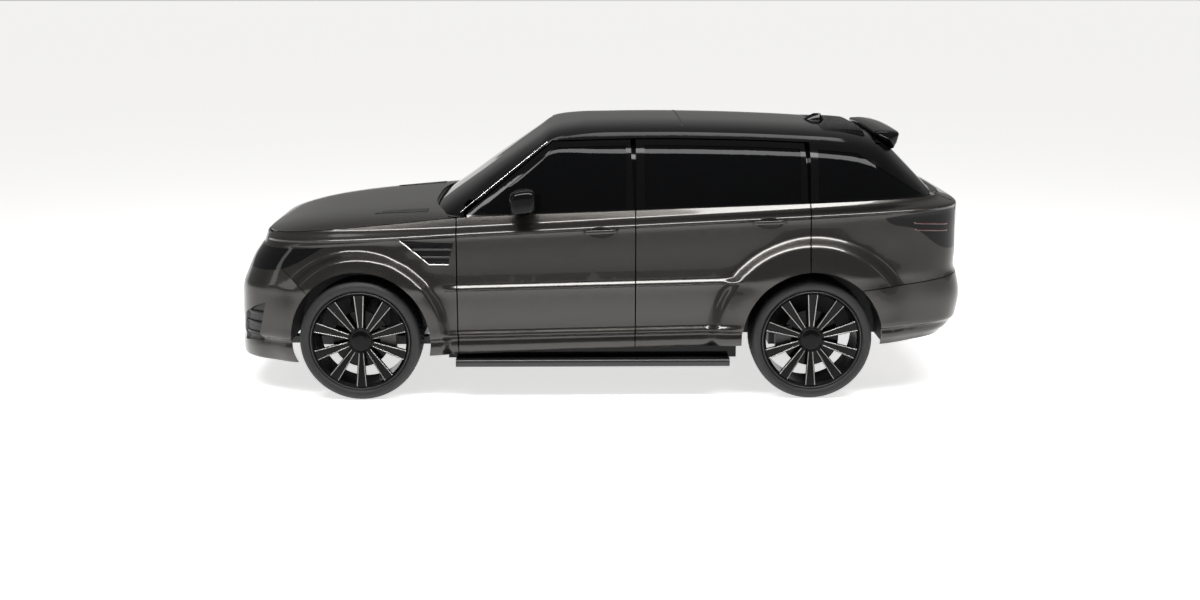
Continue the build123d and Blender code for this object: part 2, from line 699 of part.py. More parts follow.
def lower_grille(lap):
    """Front-view outline of half the lower intake, grown by lap."""
    return lines((-1, 330 - lap), (420 + lap, 330 - lap), (520 + lap, 520), (470 + lap, 600 + lap), (-1, 600 + lap))


def corner_vent(lap):
    """Front-view outline of the left corner vent, grown by lap."""
    return lines((600 - lap, 330 - lap), (760 + lap, 360 - lap), (800 + lap, 620 + lap), (640 - lap, 520 + lap))


OPENINGS = (upper_grille, lower_grille, corner_vent)
bumper = (BODY & side_block(bumper_side)) - BODY_TRIM - ARCHES[0] - lamp_block
bumper = bumper - box(X_FRONT_AXLE + 500, X_FRONT + 50, WING_EDGE, 1400, 866, 1300)
for opening in OPENINGS:
    bumper = bumper - front_block(opening(0), X_FRONT_AXLE + 300, X_FRONT + 50)
bumper = max(solids(bumper), key=lambda s: s.volume)
bumper = bumper + right(bumper)
EYE_RADIUS = 12
EYE_DEPTH = 60
EYE_Y = 560
EYE_Z = 700
FRONT_EYE_X = X_FRONT - 50
front_boss = rod((FRONT_EYE_X - EYE_DEPTH - 50, -EYE_Y, EYE_Z), (FRONT_EYE_X, -EYE_Y, EYE_Z), 24)
bumper = bumper + front_boss
bumper = bumper - rod((FRONT_EYE_X - EYE_DEPTH, -EYE_Y, EYE_Z), (X_FRONT + 30, -EYE_Y, EYE_Z), EYE_RADIUS)
keep("front_bumper", bumper)
GRILLE_IN = body_half(26)
GRILLE_LAP = 14
grille = []
for opening in OPENINGS:
    panel = (BODY_TRIM & front_block(opening(GRILLE_LAP), X_FRONT_AXLE + 350, X_FRONT + 50)) - GRILLE_IN
    panel = panel & box(0, 3000, 0, 1400, 0, 2000)
    grille.append(panel)
centre = [grille[0] + right(grille[0]), grille[1] + right(grille[1])]
keep("grilles", Compound(children=solids(centre[0]) + solids(centre[1]) + list(both(grille[2]).solids())))

# Headlamps
lamp = (BODY & lamp_block) - body_half(60)
keep("headlamps", both(max(solids(lamp), key=lambda s: s.volume)))

# Rear quarters, tail lamps and rear bumper
tail_lamp_side = [
    [(X_REAR_AXLE - 450, 1188), (X_REAR_AXLE - 640, 1214), (X_REAR - 20, 1222)],
    [(X_REAR - 20, 1222), (X_REAR - 20, 1000)],
    [(X_REAR - 20, 1000), (X_REAR_AXLE - 760, 1040), (X_REAR_AXLE - 640, 1120),
     (X_REAR_AXLE - 500, 1150), (X_REAR_AXLE - 450, 1188)],
]
tail_lamp_block = side_block(tail_lamp_side)
tailgate_room = front_block(tailgate_view(SHUT_GAP), X_REAR - 100, X_ROOF_END)
BUMPER_TOP = 800
PIPE_Y = 330
PIPE_Z = 470
PIPE_RADIUS = 45


def quarter_line(x):
    """Shut line between rear quarter and rear bumper."""
    return BUMPER_TOP - 0.1 * (x - X_REAR)


quarter_top = curve(belt, X_DOOR_REAR - SHUT_GAP / 2, X_REAR - 20)
quarter_side = [
    quarter_top,
    [quarter_top[-1], (X_REAR - 20, quarter_line(X_REAR - 20) + 3)],
    [(X_REAR - 20, quarter_line(X_REAR - 20) + 3), (X_DOOR_REAR - 4, quarter_line(X_DOOR_REAR) + 3)],
    [(X_DOOR_REAR - 4, quarter_line(X_DOOR_REAR) + 3), quarter_top[0]],
]
quarter = (BODY & side_block(quarter_side)) - BODY_SKIN - ARCHES[1] - tail_lamp_block - tailgate_room
flange_top = curve(belt, X_DOOR_REAR - SHUT_GAP / 2, FLANGE_END + 5, -2)
flange_low = [(x, z - 14) for x, z in reversed(flange_top)]
flange = [flange_top, [flange_top[-1], flange_low[0]], flange_low, [flange_low[-1], flange_top[0]]]
quarter = quarter + ((BODY & side_block(flange, 300)) - UPPER)
quarter_pieces = [s for s in solids(quarter) if s.volume > 50000]
keep("rear_quarters", Compound(children=quarter_pieces + [right(s) for s in quarter_pieces]))
tail_lamp = (BODY & tail_lamp_block) - body_half(55) - tailgate_room
keep("tail_lamps", both(max(solids(tail_lamp), key=lambda s: s.volume)))

rear_side = [
    [(X_DOOR_REAR - 4, quarter_line(X_DOOR_REAR) - 3), (X_REAR - 20, quarter_line(X_REAR - 20) - 3)],
    [(X_REAR - 20, quarter_line(X_REAR - 20) - 3), (X_REAR - 20, 392)],
    [(X_REAR - 20, 392), (X_REAR_AXLE - 400, 352)],
    [(X_REAR_AXLE - 400, 352), (X_DOOR_REAR - 4, quarter_line(X_DOOR_REAR) - 3)],
]
rear_bumper = (BODY & side_block(rear_side)) - BODY_TRIM - ARCHES[1]
rear_bumper = rear_bumper - front_block(tailgate_view(LID_GAP), X_REAR - 100, X_ROOF_END)
rear_bumper = max(solids(rear_bumper), key=lambda s: s.volume)
rear_bumper = rear_bumper - rod((X_REAR + 300, PIPE_Y, PIPE_Z), (X_REAR - 50, PIPE_Y, PIPE_Z), PIPE_RADIUS + 8)
rear_bumper = rear_bumper + right(rear_bumper)
bracket = box(X_REAR - 10, X_REAR + 125, 480, 560, 640, 720) & body_half(6)
rear_bumper = rear_bumper + bracket + right(bracket)
REAR_EYE_X = X_REAR + 10
REAR_EYE_Z = 620
rear_boss = rod((REAR_EYE_X + EYE_DEPTH + 50, -EYE_Y, REAR_EYE_Z), (REAR_EYE_X, -EYE_Y, REAR_EYE_Z), 24)
rear_bumper = rear_bumper + rear_boss
rear_bumper = rear_bumper - rod((REAR_EYE_X + EYE_DEPTH, -EYE_Y, REAR_EYE_Z), (X_REAR - 30, -EYE_Y, REAR_EYE_Z),
                                EYE_RADIUS)
keep("rear_bumper", rear_bumper)

# Tailgate, its glass and spoiler, hinged at the roof's rear edge
GATE_DEPTH = 40
GATE_INSET = 50
gate_view = front_block(tailgate_view(0), X_REAR - 50, X_ROOF_END - SHUT_GAP)
gate_core = front_block(tailgate_view(-GATE_INSET), X_REAR - 50, X_ROOF_END - SHUT_GAP)
gate_lower = ((BODY & gate_view) - BODY_SKIN) + ((BODY & gate_core) - body_half(GATE_DEPTH + 30))
gate_lower = gate_lower & box(X_REAR - 50, X_REAR + 400, 0, 1400, 0, float(belt(X_REAR)))
gate_upper = ((UPPER & gate_view) - GLASS_IN) + ((UPPER & gate_core) - canopy(GATE_DEPTH))
gate_upper = gate_upper & box(X_REAR - 50, X_ROOF_END - SHUT_GAP, 0, 1400, 1240, 2000)
GATE_GLASS = lines((-1, 1345), (530, 1345), (478, 1560), (468, 1588), (-1, 1588))
gate_glass_zone = front_block(GATE_GLASS, X_REAR - 50, X_ROOF_END)
gate = gate_lower + (gate_upper - gate_glass_zone)
GATE_EASE = lines((700, 1190), (679, 1236), (635, 1318), (626, 1366), (760, 1366), (760, 1190))
gate = gate - front_block(GATE_EASE, X_REAR - 50, X_ROOF_END)
gate = gate + right(gate)
for side in (1, -1):
    y = side * GATE_ARM_Y
    arm = rod((GATE_HINGE[0], y - 10, GATE_HINGE[1]), (GATE_HINGE[0], y + 10, GATE_HINGE[1]), GATE_PIN + 4)
    arm = arm + (box(X_ROOF_END - 60, GATE_HINGE[0], y - 10, y + 10, GATE_HINGE[1] - 8, GATE_HINGE[1] + 7) & GLASS_OUT)
    arm = arm - rod((GATE_HINGE[0], y - 11, GATE_HINGE[1]), (GATE_HINGE[0], y + 11, GATE_HINGE[1]),
                    GATE_PIN + RUNNING_CLEARANCE)
    gate = gate + arm
keep("tailgate", gate)
gate_glass = ((GLASS_OUT & gate_glass_zone) - GLASS_IN) & box(X_REAR, X_ROOF_END, 0, 1400, 0, 2000)
keep("tailgate_glass", gate_glass + right(gate_glass))
SPOILER_FRONT = X_ROOF_END - 50
SPOILER_TIP = X_REAR + 435
spoiler_side = lines(
    (SPOILER_FRONT, float(canopy_profile(SPOILER_FRONT)) + 6), (SPOILER_TIP, 1706), (SPOILER_TIP, 1690),
    (SPOILER_TIP + 45, 1590), (SPOILER_FRONT - 30, 1600))
spoiler = side_block(spoiler_side, -535, 535) - UPPER
keep("spoiler", max(solids(spoiler), key=lambda s: s.volume))

# Floor, bulkhead and load floor
HOUSE_WALL = 650
LOAD_FLOOR = 630
floor = box(X_KICK_UP, X_FIREWALL, -ROCKER_IN, ROCKER_IN, FLOOR_LOW, FLOOR_TOP)
floor = floor + box(X_KICK_UP, X_FIREWALL, -110, 110, FLOOR_TOP, 372)
floor = floor + box(X_FIREWALL, X_FIREWALL + 25, -POST_IN, POST_IN, FLOOR_LOW, 1110)
floor = floor + box(X_KICK_UP - 30, X_KICK_UP, -ROCKER_IN, ROCKER_IN, FLOOR_LOW, 660)
floor = floor + box(X_REAR + 150, X_KICK_UP, -HOUSE_WALL + 30, HOUSE_WALL - 30, LOAD_FLOOR, LOAD_FLOOR + 30)
floor = floor + box(X_REAR + 125, X_REAR + 150, -HOUSE_WALL + 30, HOUSE_WALL - 30, 590, 790)
for axle, wall in ((X_FRONT_AXLE, 450), (X_REAR_AXLE, HOUSE_WALL - 10)):
    for side in (1, -1):
        floor = floor - rod((axle, side * wall, TYRE_RADIUS), (axle, side * 1100, TYRE_RADIUS), ARCH_RADIUS + 14)
keep("floor_pan", floor)

# Wheel arch liners
LINER_OUT = ARCH_RADIUS + 12
LINER_IN = ARCH_RADIUS + 6
liners = []
for axle, wall in ((X_FRONT_AXLE, 455), (X_REAR_AXLE, HOUSE_WALL)):
    shell = rod((axle, wall, TYRE_RADIUS), (axle, 1100, TYRE_RADIUS), LINER_OUT)
    shell = shell - rod((axle, wall + 5, TYRE_RADIUS), (axle, 1101, TYRE_RADIUS), LINER_IN)
    shell = shell & box(axle - 600, axle + 600, 0, 1100, TYRE_RADIUS - 20, 1200)
    if axle == X_FRONT_AXLE:
        shell = shell & BODY_TRIM
    else:
        behind = box(axle - 600, X_DOOR_REAR - 30, 0, 1100, 0, 1200)
        shell = (shell & behind & BODY_TRIM) + ((shell - behind) & BODY_ROOM)
    liners.append(shell)
liners[0] = liners[0] - box(X_FRONT_AXLE - 130, X_FRONT_AXLE + 130, 400, 470, 0, 660)
liners[1] = liners[1] - box(X_REAR_AXLE - 110, X_REAR_AXLE + 110, 600, 660, 0, 480)
keep("arch_liners", Compound(children=[s for part in liners for s in both(part).solids()]))

# Running boards on brackets under the rockers
board = box(X_KICK_UP + 30, X_DOOR_FRONT + 20, 850, 948, 216, 268)
board = fillet(board.edges().filter_by(Axis.X), 20)
for x in (X_DOOR_FRONT - 60, X_DOOR_MIDDLE, X_KICK_UP + 90):
    board = board + box(x - 30, x + 30, POST_OUT - 60, 880, 228, ROCKER_LOW)
keep("running_boards", both(board))

# Engine as one plain block
keep("engine_block", box(X_FRONT_AXLE - 330, X_FRONT_AXLE + 400, -360, 360, 360, 1000))

# Front subframe with suspension arms and steering pins
PIN_PLANE = WHEEL_PLANE - 25
PIN_RADIUS = 14
KNUCKLE_LOW = 245
KNUCKLE_TOP = 545
front_frame = box(X_FRONT_AXLE - 350, X_FRONT_AXLE + 420, -420, 420, 240, 300)
front_frame = front_frame - box(X_FRONT_AXLE - 250, X_FRONT_AXLE + 320, -320, 320, 200, 340)
front_frame = front_frame + box(X_FRONT_AXLE - 40, X_FRONT_AXLE + 40, -320, 320, 240, 300)
front_mounts = box(X_FIREWALL - 60, X_FRONT_AXLE - 340, 330, 410, 240, FLOOR_LOW)
front_mounts = front_mounts + (box(X_FRONT_AXLE + 410, X_FRONT, 330, 410, 250, 298) & BODY_TRIM)
front_mounts = front_mounts + box(X_FRONT_AXLE - 300, X_FRONT_AXLE + 380, 325, 358, 290, 360)
front_frame = front_frame + front_mounts + right(front_mounts)
for side in (1, -1):
    tower = box(X_FRONT_AXLE - 40, X_FRONT_AXLE + 40, 370, 420, 300, 620)
    low_arm = box(X_FRONT_AXLE - 35, X_FRONT_AXLE + 35, 380, PIN_PLANE + 22, 206, KNUCKLE_LOW - MOVING_GAP)
    low_arm = low_arm + box(X_FRONT_AXLE - 35, X_FRONT_AXLE + 35, 380, 420, 206, 260)
    high_arm = box(X_FRONT_AXLE - 30, X_FRONT_AXLE + 30, 380, PIN_PLANE + 22, KNUCKLE_TOP + MOVING_GAP, 586)
    low_pin = rod((X_FRONT_AXLE, PIN_PLANE, 220), (X_FRONT_AXLE, PIN_PLANE, KNUCKLE_LOW + 32), PIN_RADIUS)
    high_pin = rod((X_FRONT_AXLE, PIN_PLANE, KNUCKLE_TOP - 32), (X_FRONT_AXLE, PIN_PLANE, 570), PIN_RADIUS)
    arms = tower + low_arm + high_arm + low_pin + high_pin
    front_frame = front_frame + (arms if side == 1 else right(arms))
keep("front_subframe", front_frame)

# Steered knuckles with spindle and brake caliper
SPINDLE_RADIUS = 30
SPINDLE_END = WHEEL_PLANE + 107
DISC_RADIUS = 185
DISC_IN = WHEEL_PLANE + 37
DISC_OUT = WHEEL_PLANE + 57


def caliper(axle, direction):
    """Brake caliper astride the disc, ahead of or behind the axle."""
    near = axle + direction * 125
    far = axle + direction * 225
    block = box(min(near, far), max(near, far), WHEEL_PLANE + 13, WHEEL_PLANE + 74, 315, 475)
    slot = rod((axle, DISC_IN - 6, TYRE_RADIUS), (axle, DISC_OUT + 6, TYRE_RADIUS), DISC_RADIUS + 8)
    return block - slot


knuckle = box(X_FRONT_AXLE - 45, X_FRONT_AXLE + 45, PIN_PLANE - 35, PIN_PLANE + 35, KNUCKLE_LOW, KNUCKLE_TOP)
knuckle = knuckle + rod((X_FRONT_AXLE, PIN_PLANE, TYRE_RADIUS), (X_FRONT_AXLE, SPINDLE_END, TYRE_RADIUS),
                        SPINDLE_RADIUS)
knuckle = knuckle + box(X_FRONT_AXLE - 225, X_FRONT_AXLE, PIN_PLANE + 10, PIN_PLANE + 42, 350, 440)
knuckle = knuckle + caliper(X_FRONT_AXLE, -1)
for z0, z1 in ((KNUCKLE_LOW - 1, KNUCKLE_LOW + 36), (KNUCKLE_TOP - 36, KNUCKLE_TOP + 1)):
    knuckle = knuckle - rod((X_FRONT_AXLE, PIN_PLANE, z0), (X_FRONT_AXLE, PIN_PLANE, z1),
                            PIN_RADIUS + RUNNING_CLEARANCE)
keep("knuckle_left", knuckle)
keep("knuckle_right", right(knuckle))

# Rear subframe with arms, spindles and calipers
rear_frame = box(X_REAR_AXLE - 220, X_REAR_AXLE + 220, -480, 480, 250, 420)
rear_frame = rear_frame - box(X_REAR_AXLE - 130, X_REAR_AXLE + 130, -380, 380, 200, 450)
rear_frame = rear_frame + box(X_REAR_AXLE - 60, X_REAR_AXLE + 60, -380, 380, 270, 400)
for x in (X_REAR_AXLE - 175, X_REAR_AXLE + 175):
    for y in (-430, 430):
        rear_frame = rear_frame + box(x - 30, x + 30, y - 30, y + 30, 410, 630)
stub = box(X_REAR_AXLE - 60, X_REAR_AXLE + 60, 480, PIN_PLANE + 35, 330, 460)
stub = stub + rod((X_REAR_AXLE, PIN_PLANE, TYRE_RADIUS), (X_REAR_AXLE, SPINDLE_END, TYRE_RADIUS), SPINDLE_RADIUS)
stub = stub + box(X_REAR_AXLE, X_REAR_AXLE + 225, PIN_PLANE + 10, PIN_PLANE + 42, 350, 440)
stub = stub + caliper(X_REAR_AXLE, 1)
rear_frame = rear_frame + box(X_REAR_AXLE - 60, X_REAR_AXLE + 60, 380, 490, 330, 420) + stub
rear_frame = rear_frame + box(X_REAR_AXLE - 60, X_REAR_AXLE + 60, -490, -380, 330, 420) + right(stub)
keep("rear_subframe", rear_frame)

# Exhaust: two pipes to a silencer
exhaust = box(X_REAR + 240, X_REAR + 520, -420, 420, 400, 560)
exhaust = fillet(exhaust.edges().filter_by(Axis.Y), 50)
for y in (-PIPE_Y, PIPE_Y):
    exhaust = exhaust + rod((X_REAR + 260, y, PIPE_Z), (X_REAR + 60, y, PIPE_Z), PIPE_RADIUS)
for y in (-PIPE_Y, PIPE_Y):
    exhaust = exhaust + box(X_REAR + 360, X_REAR + 400, y - 20, y + 20, 550, LOAD_FLOOR)
keep("exhaust", exhaust)

# Wheels: tyre and rim with hub, spokes and brake disc
HALF_TREAD = TYRE_WIDTH / 2
BARREL = RIM_RADIUS - 12
tyre_half = [
    (BARREL, HALF_TREAD - 29), (RIM_RADIUS + 1, HALF_TREAD - 21), (RIM_RADIUS + 1, HALF_TREAD - 8),
    (TYRE_RADIUS - 42, HALF_TREAD),
    (TYRE_RADIUS - 14, HALF_TREAD - 12), (TYRE_RADIUS - 2, HALF_TREAD - 46), (TYRE_RADIUS, 0)]
tyre_profile = tyre_half + [(r, -w) for r, w in reversed(tyre_half[:-1])]


def revolved(profile, x, sign):
    """Turn a radius and width profile about a wheel axis."""
    face = drawn(lines(*profile), lambda r, w: Vector(x, sign * WHEEL_PLANE + sign * w, TYRE_RADIUS + r))
    return Solid.revolve(face, 360, Axis((x, 0, TYRE_RADIUS), (0, 1, 0)))


rim_profile = [
    (BARREL - 1, HALF_TREAD - 28), (RIM_RADIUS, HALF_TREAD - 20), (RIM_RADIUS, HALF_TREAD - 10),
    (RIM_RADIUS - 14, HALF_TREAD - 8), (RIM_RADIUS - 30, HALF_TREAD - 30), (RIM_RADIUS - 30, -HALF_TREAD + 12),
    (RIM_RADIUS, -HALF_TREAD + 10), (RIM_RADIUS, -HALF_TREAD + 20), (BARREL - 1, -HALF_TREAD + 28)]
BORE = SPINDLE_RADIUS + RUNNING_CLEARANCE
HUB_OUT = 105
hub_profile = [(BORE, 26), (60, 26), (60, 37), (DISC_RADIUS, 37), (DISC_RADIUS, 57), (82, 57), (82, HUB_OUT - 14),
               (70, HUB_OUT), (BORE, HUB_OUT)]


def spoke(x, sign):
    """One tapered spoke, dished from the rim down to the hub."""
    root = [(-20, 84), (20, 84), (20, 100), (-20, 100)]
    tip = [(-34, 104), (34, 104), (34, 128), (-34, 128)]
    sections = []
    for radius, outline in ((72, root), (RIM_RADIUS - 22, tip)):
        corners = [Vector(x + a, sign * (WHEEL_PLANE + w), TYRE_RADIUS + radius) for a, w in outline]
        sections.append(Face(Wire.make_polygon(corners, close=True)).outer_wire())
    return Solid.make_loft(sections, ruled=True)


def rim(x, sign):
    wheel = revolved(rim_profile, x, sign) + revolved(hub_profile, x, sign)
    blade = spoke(x, sign)
    for index in range(SPOKE_COUNT):
        turn = blade.rotate(Axis((x, 0, TYRE_RADIUS), (0, 1, 0)), index * 360 / SPOKE_COUNT)
        wheel = wheel + turn
    return wheel


front_tyre = revolved(tyre_profile, X_FRONT_AXLE, 1)
front_rim = rim(X_FRONT_AXLE, 1)
to_rear = Pos(X_REAR_AXLE - X_FRONT_AXLE, 0, 0)
for name, piece in (("tyre", front_tyre), ("rim", front_rim)):
    keep(f"{name}_front_left", piece)
    keep(f"{name}_front_right", right(piece))
    keep(f"{name}_rear_left", to_rear * piece)
    keep(f"{name}_rear_right", to_rear * right(piece))

# Cabin: dashboard, seats and steering wheel
DASH_REAR = X_FIREWALL - 325
dashboard = box(DASH_REAR, X_FIREWALL, -ROCKER_IN, ROCKER_IN, 780, 1085)
dashboard = fillet(dashboard.edges().filter_by(Axis.Y).group_by(Axis.X)[0], 60)
SEAT_Y = 370


def seat(x, half, y, height):
    """Cushion on a base, backrest and headrest."""
    cushion = fillet(box(x, x + 500, y - half, y + half, 380, 560).edges(), 40)
    base = box(x + 60, x + 440, y - half + 100, y + half - 100, FLOOR_TOP, 400)
    back = fillet(box(x - 110, x + 30, y - half, y + half, 440, height).edges(), 40)
    rest = fillet(box(x - 100, x - 10, y - 130, y + 130, height + 30, height + 170).edges(), 30)
    stalk = box(x - 65, x - 45, y - 50, y + 50, height - 30, height + 60)
    return cushion + base + back + rest + stalk


FRONT_SEAT_X = X_DOOR_MIDDLE + 300
REAR_SEAT_X = X_KICK_UP + 150
front_seats = both(seat(FRONT_SEAT_X, 250, SEAT_Y, 1080))
rear_seats = seat(REAR_SEAT_X, 300, 325, 1100)
keep("front_seats", front_seats)
keep("rear_seats", both(rear_seats))

COLUMN_TILT = 25
COLUMN_RADIUS = 18
WHEEL_CENTRE = Vector(DASH_REAR - 190, SEAT_Y, 985)
forward = Vector(cos(radians(COLUMN_TILT)), 0, -sin(radians(COLUMN_TILT)))
column_plane = Plane(WHEEL_CENTRE, z_dir=forward)
COLUMN_LENGTH = 270
steering_wheel = column_plane * Torus(185, 16)
steering_wheel = steering_wheel + column_plane * Cylinder(
    COLUMN_RADIUS, COLUMN_LENGTH, align=(Align.CENTER, Align.CENTER, Align.MIN))
steering_wheel = steering_wheel + column_plane * Cylinder(60, 40)
steering_wheel = steering_wheel + column_plane * Box(30, 372, 18) + column_plane * (Pos(-95, 0, 0) * Box(180, 40, 18))
column_hole = column_plane * (Pos(0, 0, -50) * Cylinder(
    COLUMN_RADIUS + RUNNING_CLEARANCE, COLUMN_LENGTH + 60, align=(Align.CENTER, Align.CENTER, Align.MIN)))
keep("steering_wheel", steering_wheel)
keep("dashboard", dashboard - column_hole)

os.makedirs("parts", exist_ok=True)
for name, shape in NODES.items():
    pieces = solids(shape)
    node = pieces[0] if len(pieces) == 1 else Compound(children=pieces)
    node.label = name
    export_step(node, f"parts/{name}.step")
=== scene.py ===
import math

import bpy
import numpy as np
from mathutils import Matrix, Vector


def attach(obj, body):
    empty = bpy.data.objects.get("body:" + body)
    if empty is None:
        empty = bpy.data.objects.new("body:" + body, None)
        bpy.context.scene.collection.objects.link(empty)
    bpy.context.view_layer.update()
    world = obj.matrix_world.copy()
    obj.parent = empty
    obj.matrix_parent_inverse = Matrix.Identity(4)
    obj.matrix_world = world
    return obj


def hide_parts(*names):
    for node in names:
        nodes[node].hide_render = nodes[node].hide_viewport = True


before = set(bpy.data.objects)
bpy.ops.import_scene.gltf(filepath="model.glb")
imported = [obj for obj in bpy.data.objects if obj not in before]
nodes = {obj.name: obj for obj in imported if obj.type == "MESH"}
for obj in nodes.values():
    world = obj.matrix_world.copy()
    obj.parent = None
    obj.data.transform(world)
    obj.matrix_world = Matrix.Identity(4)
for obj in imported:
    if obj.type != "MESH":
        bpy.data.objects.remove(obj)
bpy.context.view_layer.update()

# Painted panels: pressed aluminium skins, bolted and hinged, in dark warm grey metallic under clear coat.
# Fine noise stands for the flakes; above the belt line the doors and the tailgate are gloss black.


def finish(name, colour, rough, metal=0.0, coat=0.0, grain=40.0, bump=0.0, spec=0.5, spread=0.15):
    """Surface whose colour and roughness vary by noise in object space, with a fine bump from it."""
    made = bpy.data.materials.new(name)
    made.use_nodes = True
    tree = made.node_tree
    shader = tree.nodes["Principled BSDF"]
    place = tree.nodes.new("ShaderNodeTexCoord")
    noise = tree.nodes.new("ShaderNodeTexNoise")
    noise.inputs["Scale"].default_value = grain
    noise.inputs["Detail"].default_value = 4
    tree.links.new(place.outputs["Object"], noise.inputs["Vector"])
    shade = tree.nodes.new("ShaderNodeMix")
    shade.data_type = "RGBA"
    shade.inputs[6].default_value = (*[c * (1 - spread) for c in colour], 1)
    shade.inputs[7].default_value = (*[c * (1 + spread) for c in colour], 1)
    tree.links.new(noise.outputs["Fac"], shade.inputs[0])
    tree.links.new(shade.outputs[2], shader.inputs["Base Color"])
    dull = tree.nodes.new("ShaderNodeMapRange")
    dull.inputs["To Min"].default_value = rough * 0.85
    dull.inputs["To Max"].default_value = rough * 1.15
    tree.links.new(noise.outputs["Fac"], dull.inputs["Value"])
    tree.links.new(dull.outputs["Result"], shader.inputs["Roughness"])
    if bump:
        relief = tree.nodes.new("ShaderNodeBump")
        relief.inputs["Strength"].default_value = bump
        relief.inputs["Distance"].default_value = 0.001
        tree.links.new(noise.outputs["Fac"], relief.inputs["Height"])
        tree.links.new(relief.outputs["Normal"], shader.inputs["Normal"])
    shader.inputs["Metallic"].default_value = metal
    shader.inputs["Coat Weight"].default_value = coat
    shader.inputs["Coat Roughness"].default_value = 0.04
    shader.inputs["Specular IOR Level"].default_value = spec
    return made


def dress(made, *names):
    """Gives the named CAD nodes one material."""
    for name in names:
        nodes[name].data.materials.clear()
        nodes[name].data.materials.append(made)


def sum_node(tree, kind, a, b, c=0.0):
    """One arithmetic step between sockets or plain numbers."""
    step = tree.nodes.new("ShaderNodeMath")
    step.operation = kind
    for socket, value in zip(step.inputs, (a, b, c)):
        if isinstance(value, (int, float)):
            socket.default_value = value
        else:
            tree.links.new(value, socket)
    return step.outputs[0]


def ease(tree, value, start, end, low, high):
    """Smooth step of a value from one level to another."""
    step = tree.nodes.new("ShaderNodeMapRange")
    step.interpolation_type = "SMOOTHSTEP"
    for socket, number in zip(list(step.inputs)[1:5], (start, end, low, high)):
        socket.default_value = number
    tree.links.new(value, step.inputs["Value"])
    return step.outputs["Result"]


def sculpt(made):
    """Pressed relief of the side: ridges along sloping lines and swellings round both axles, as bump."""
    tree = made.node_tree
    place = tree.nodes.new("ShaderNodeTexCoord")
    split = tree.nodes.new("ShaderNodeSeparateXYZ")
    tree.links.new(place.outputs["Object"], split.inputs["Vector"])
    x, z = split.outputs["X"], split.outputs["Z"]
    height = 0.0
    for base, slope, below, above, tall in ((1.1304, 0.0501, 0.012, 0.060, 0.026),
                                            (0.7575, 0.0250, 0.010, 0.040, 0.022),
                                            (0.4457, 0.0211, 0.012, 0.045, 0.022)):
        rise = sum_node(tree, "SUBTRACT", sum_node(tree, "MULTIPLY_ADD", x, slope, z), base)
        foot = ease(tree, rise, -below, 0.0, 0.0, tall)
        fall = ease(tree, rise, 0.0, above, 0.0, -tall)
        ridge = sum_node(tree, "ADD", foot, fall)
        if base < 1.0:
            ridge = sum_node(tree, "MULTIPLY", ridge, ease(tree, x, -0.95, -0.80, 0.0, 1.0))
            ridge = sum_node(tree, "MULTIPLY", ridge, ease(tree, x, 0.90, 1.03, 1.0, 0.0))
        height = sum_node(tree, "ADD", height, ridge)
    for axle_x, inner, outer, tall in ((1.545, 0.520, 0.600, 0.042), (-1.378, 0.600, 0.700, 0.048)):
        dx = sum_node(tree, "SUBTRACT", x, axle_x)
        dz = sum_node(tree, "SUBTRACT", z, 0.395)
        square = sum_node(tree, "MULTIPLY_ADD", dx, dx, sum_node(tree, "MULTIPLY", dz, dz))
        far = sum_node(tree, "SQRT", square, 0.0)
        height = sum_node(tree, "ADD", height, ease(tree, far, inner, outer, tall, 0.0))
    relief = tree.nodes.new("ShaderNodeBump")
    relief.inputs["Strength"].default_value = 1.0
    relief.inputs["Distance"].default_value = 1.0
    tree.links.new(height, relief.inputs["Height"])
    shader = tree.nodes["Principled BSDF"]
    tree.links.new(relief.outputs["Normal"], shader.inputs["Normal"])
    tree.links.new(relief.outputs["Normal"], shader.inputs["Coat Normal"])
    return made


GREY = (0.036, 0.034, 0.031)
BELT_SLOPE = 0.0366
BELT_LEVEL = 1.2335


def two_tone(name):
    """Flaked grey paint below the belt line and gloss black above it, split by object height and length."""
    made = finish(name, GREY, 0.27, metal=0.85, coat=0.5, grain=1400, spread=0.3)
    tree = made.node_tree
    grey = tree.nodes["Principled BSDF"]
    black = tree.nodes.new("ShaderNodeBsdfPrincipled")
    black.inputs["Base Color"].default_value = (0.002, 0.002, 0.0022, 1)
    black.inputs["Roughness"].default_value = 0.08
    black.inputs["Specular IOR Level"].default_value = 0.12
    place = tree.nodes.new("ShaderNodeTexCoord")
    split = tree.nodes.new("ShaderNodeSeparateXYZ")
    tree.links.new(place.outputs["Object"], split.inputs["Vector"])
    level = sum_node(tree, "MULTIPLY_ADD", split.outputs["X"], BELT_SLOPE, split.outputs["Z"])
    above = sum_node(tree, "GREATER_THAN", level, BELT_LEVEL)
    mix = tree.nodes.new("ShaderNodeMixShader")
    tree.links.new(above, mix.inputs[0])
    tree.links.new(grey.outputs[0], mix.inputs[1])
    tree.links.new(black.outputs[0], mix.inputs[2])
    tree.links.new(mix.outputs[0], tree.nodes["Material Output"].inputs["Surface"])
    return made


paint = finish("paint", GREY, 0.27, metal=0.85, coat=0.5, grain=1400, spread=0.3)
dress(paint, "bonnet", "front_bumper", "rear_bumper")
side_paint = finish("side_paint", GREY, 0.27, metal=0.85, coat=0.5, grain=1400, spread=0.3)
dress(sculpt(side_paint), "front_wings", "rear_quarters")
dress(sculpt(two_tone("door_paint")), "front_door_left", "front_door_right", "rear_door_left",
      "rear_door_right")
dress(two_tone("tailgate_paint"), "tailgate")

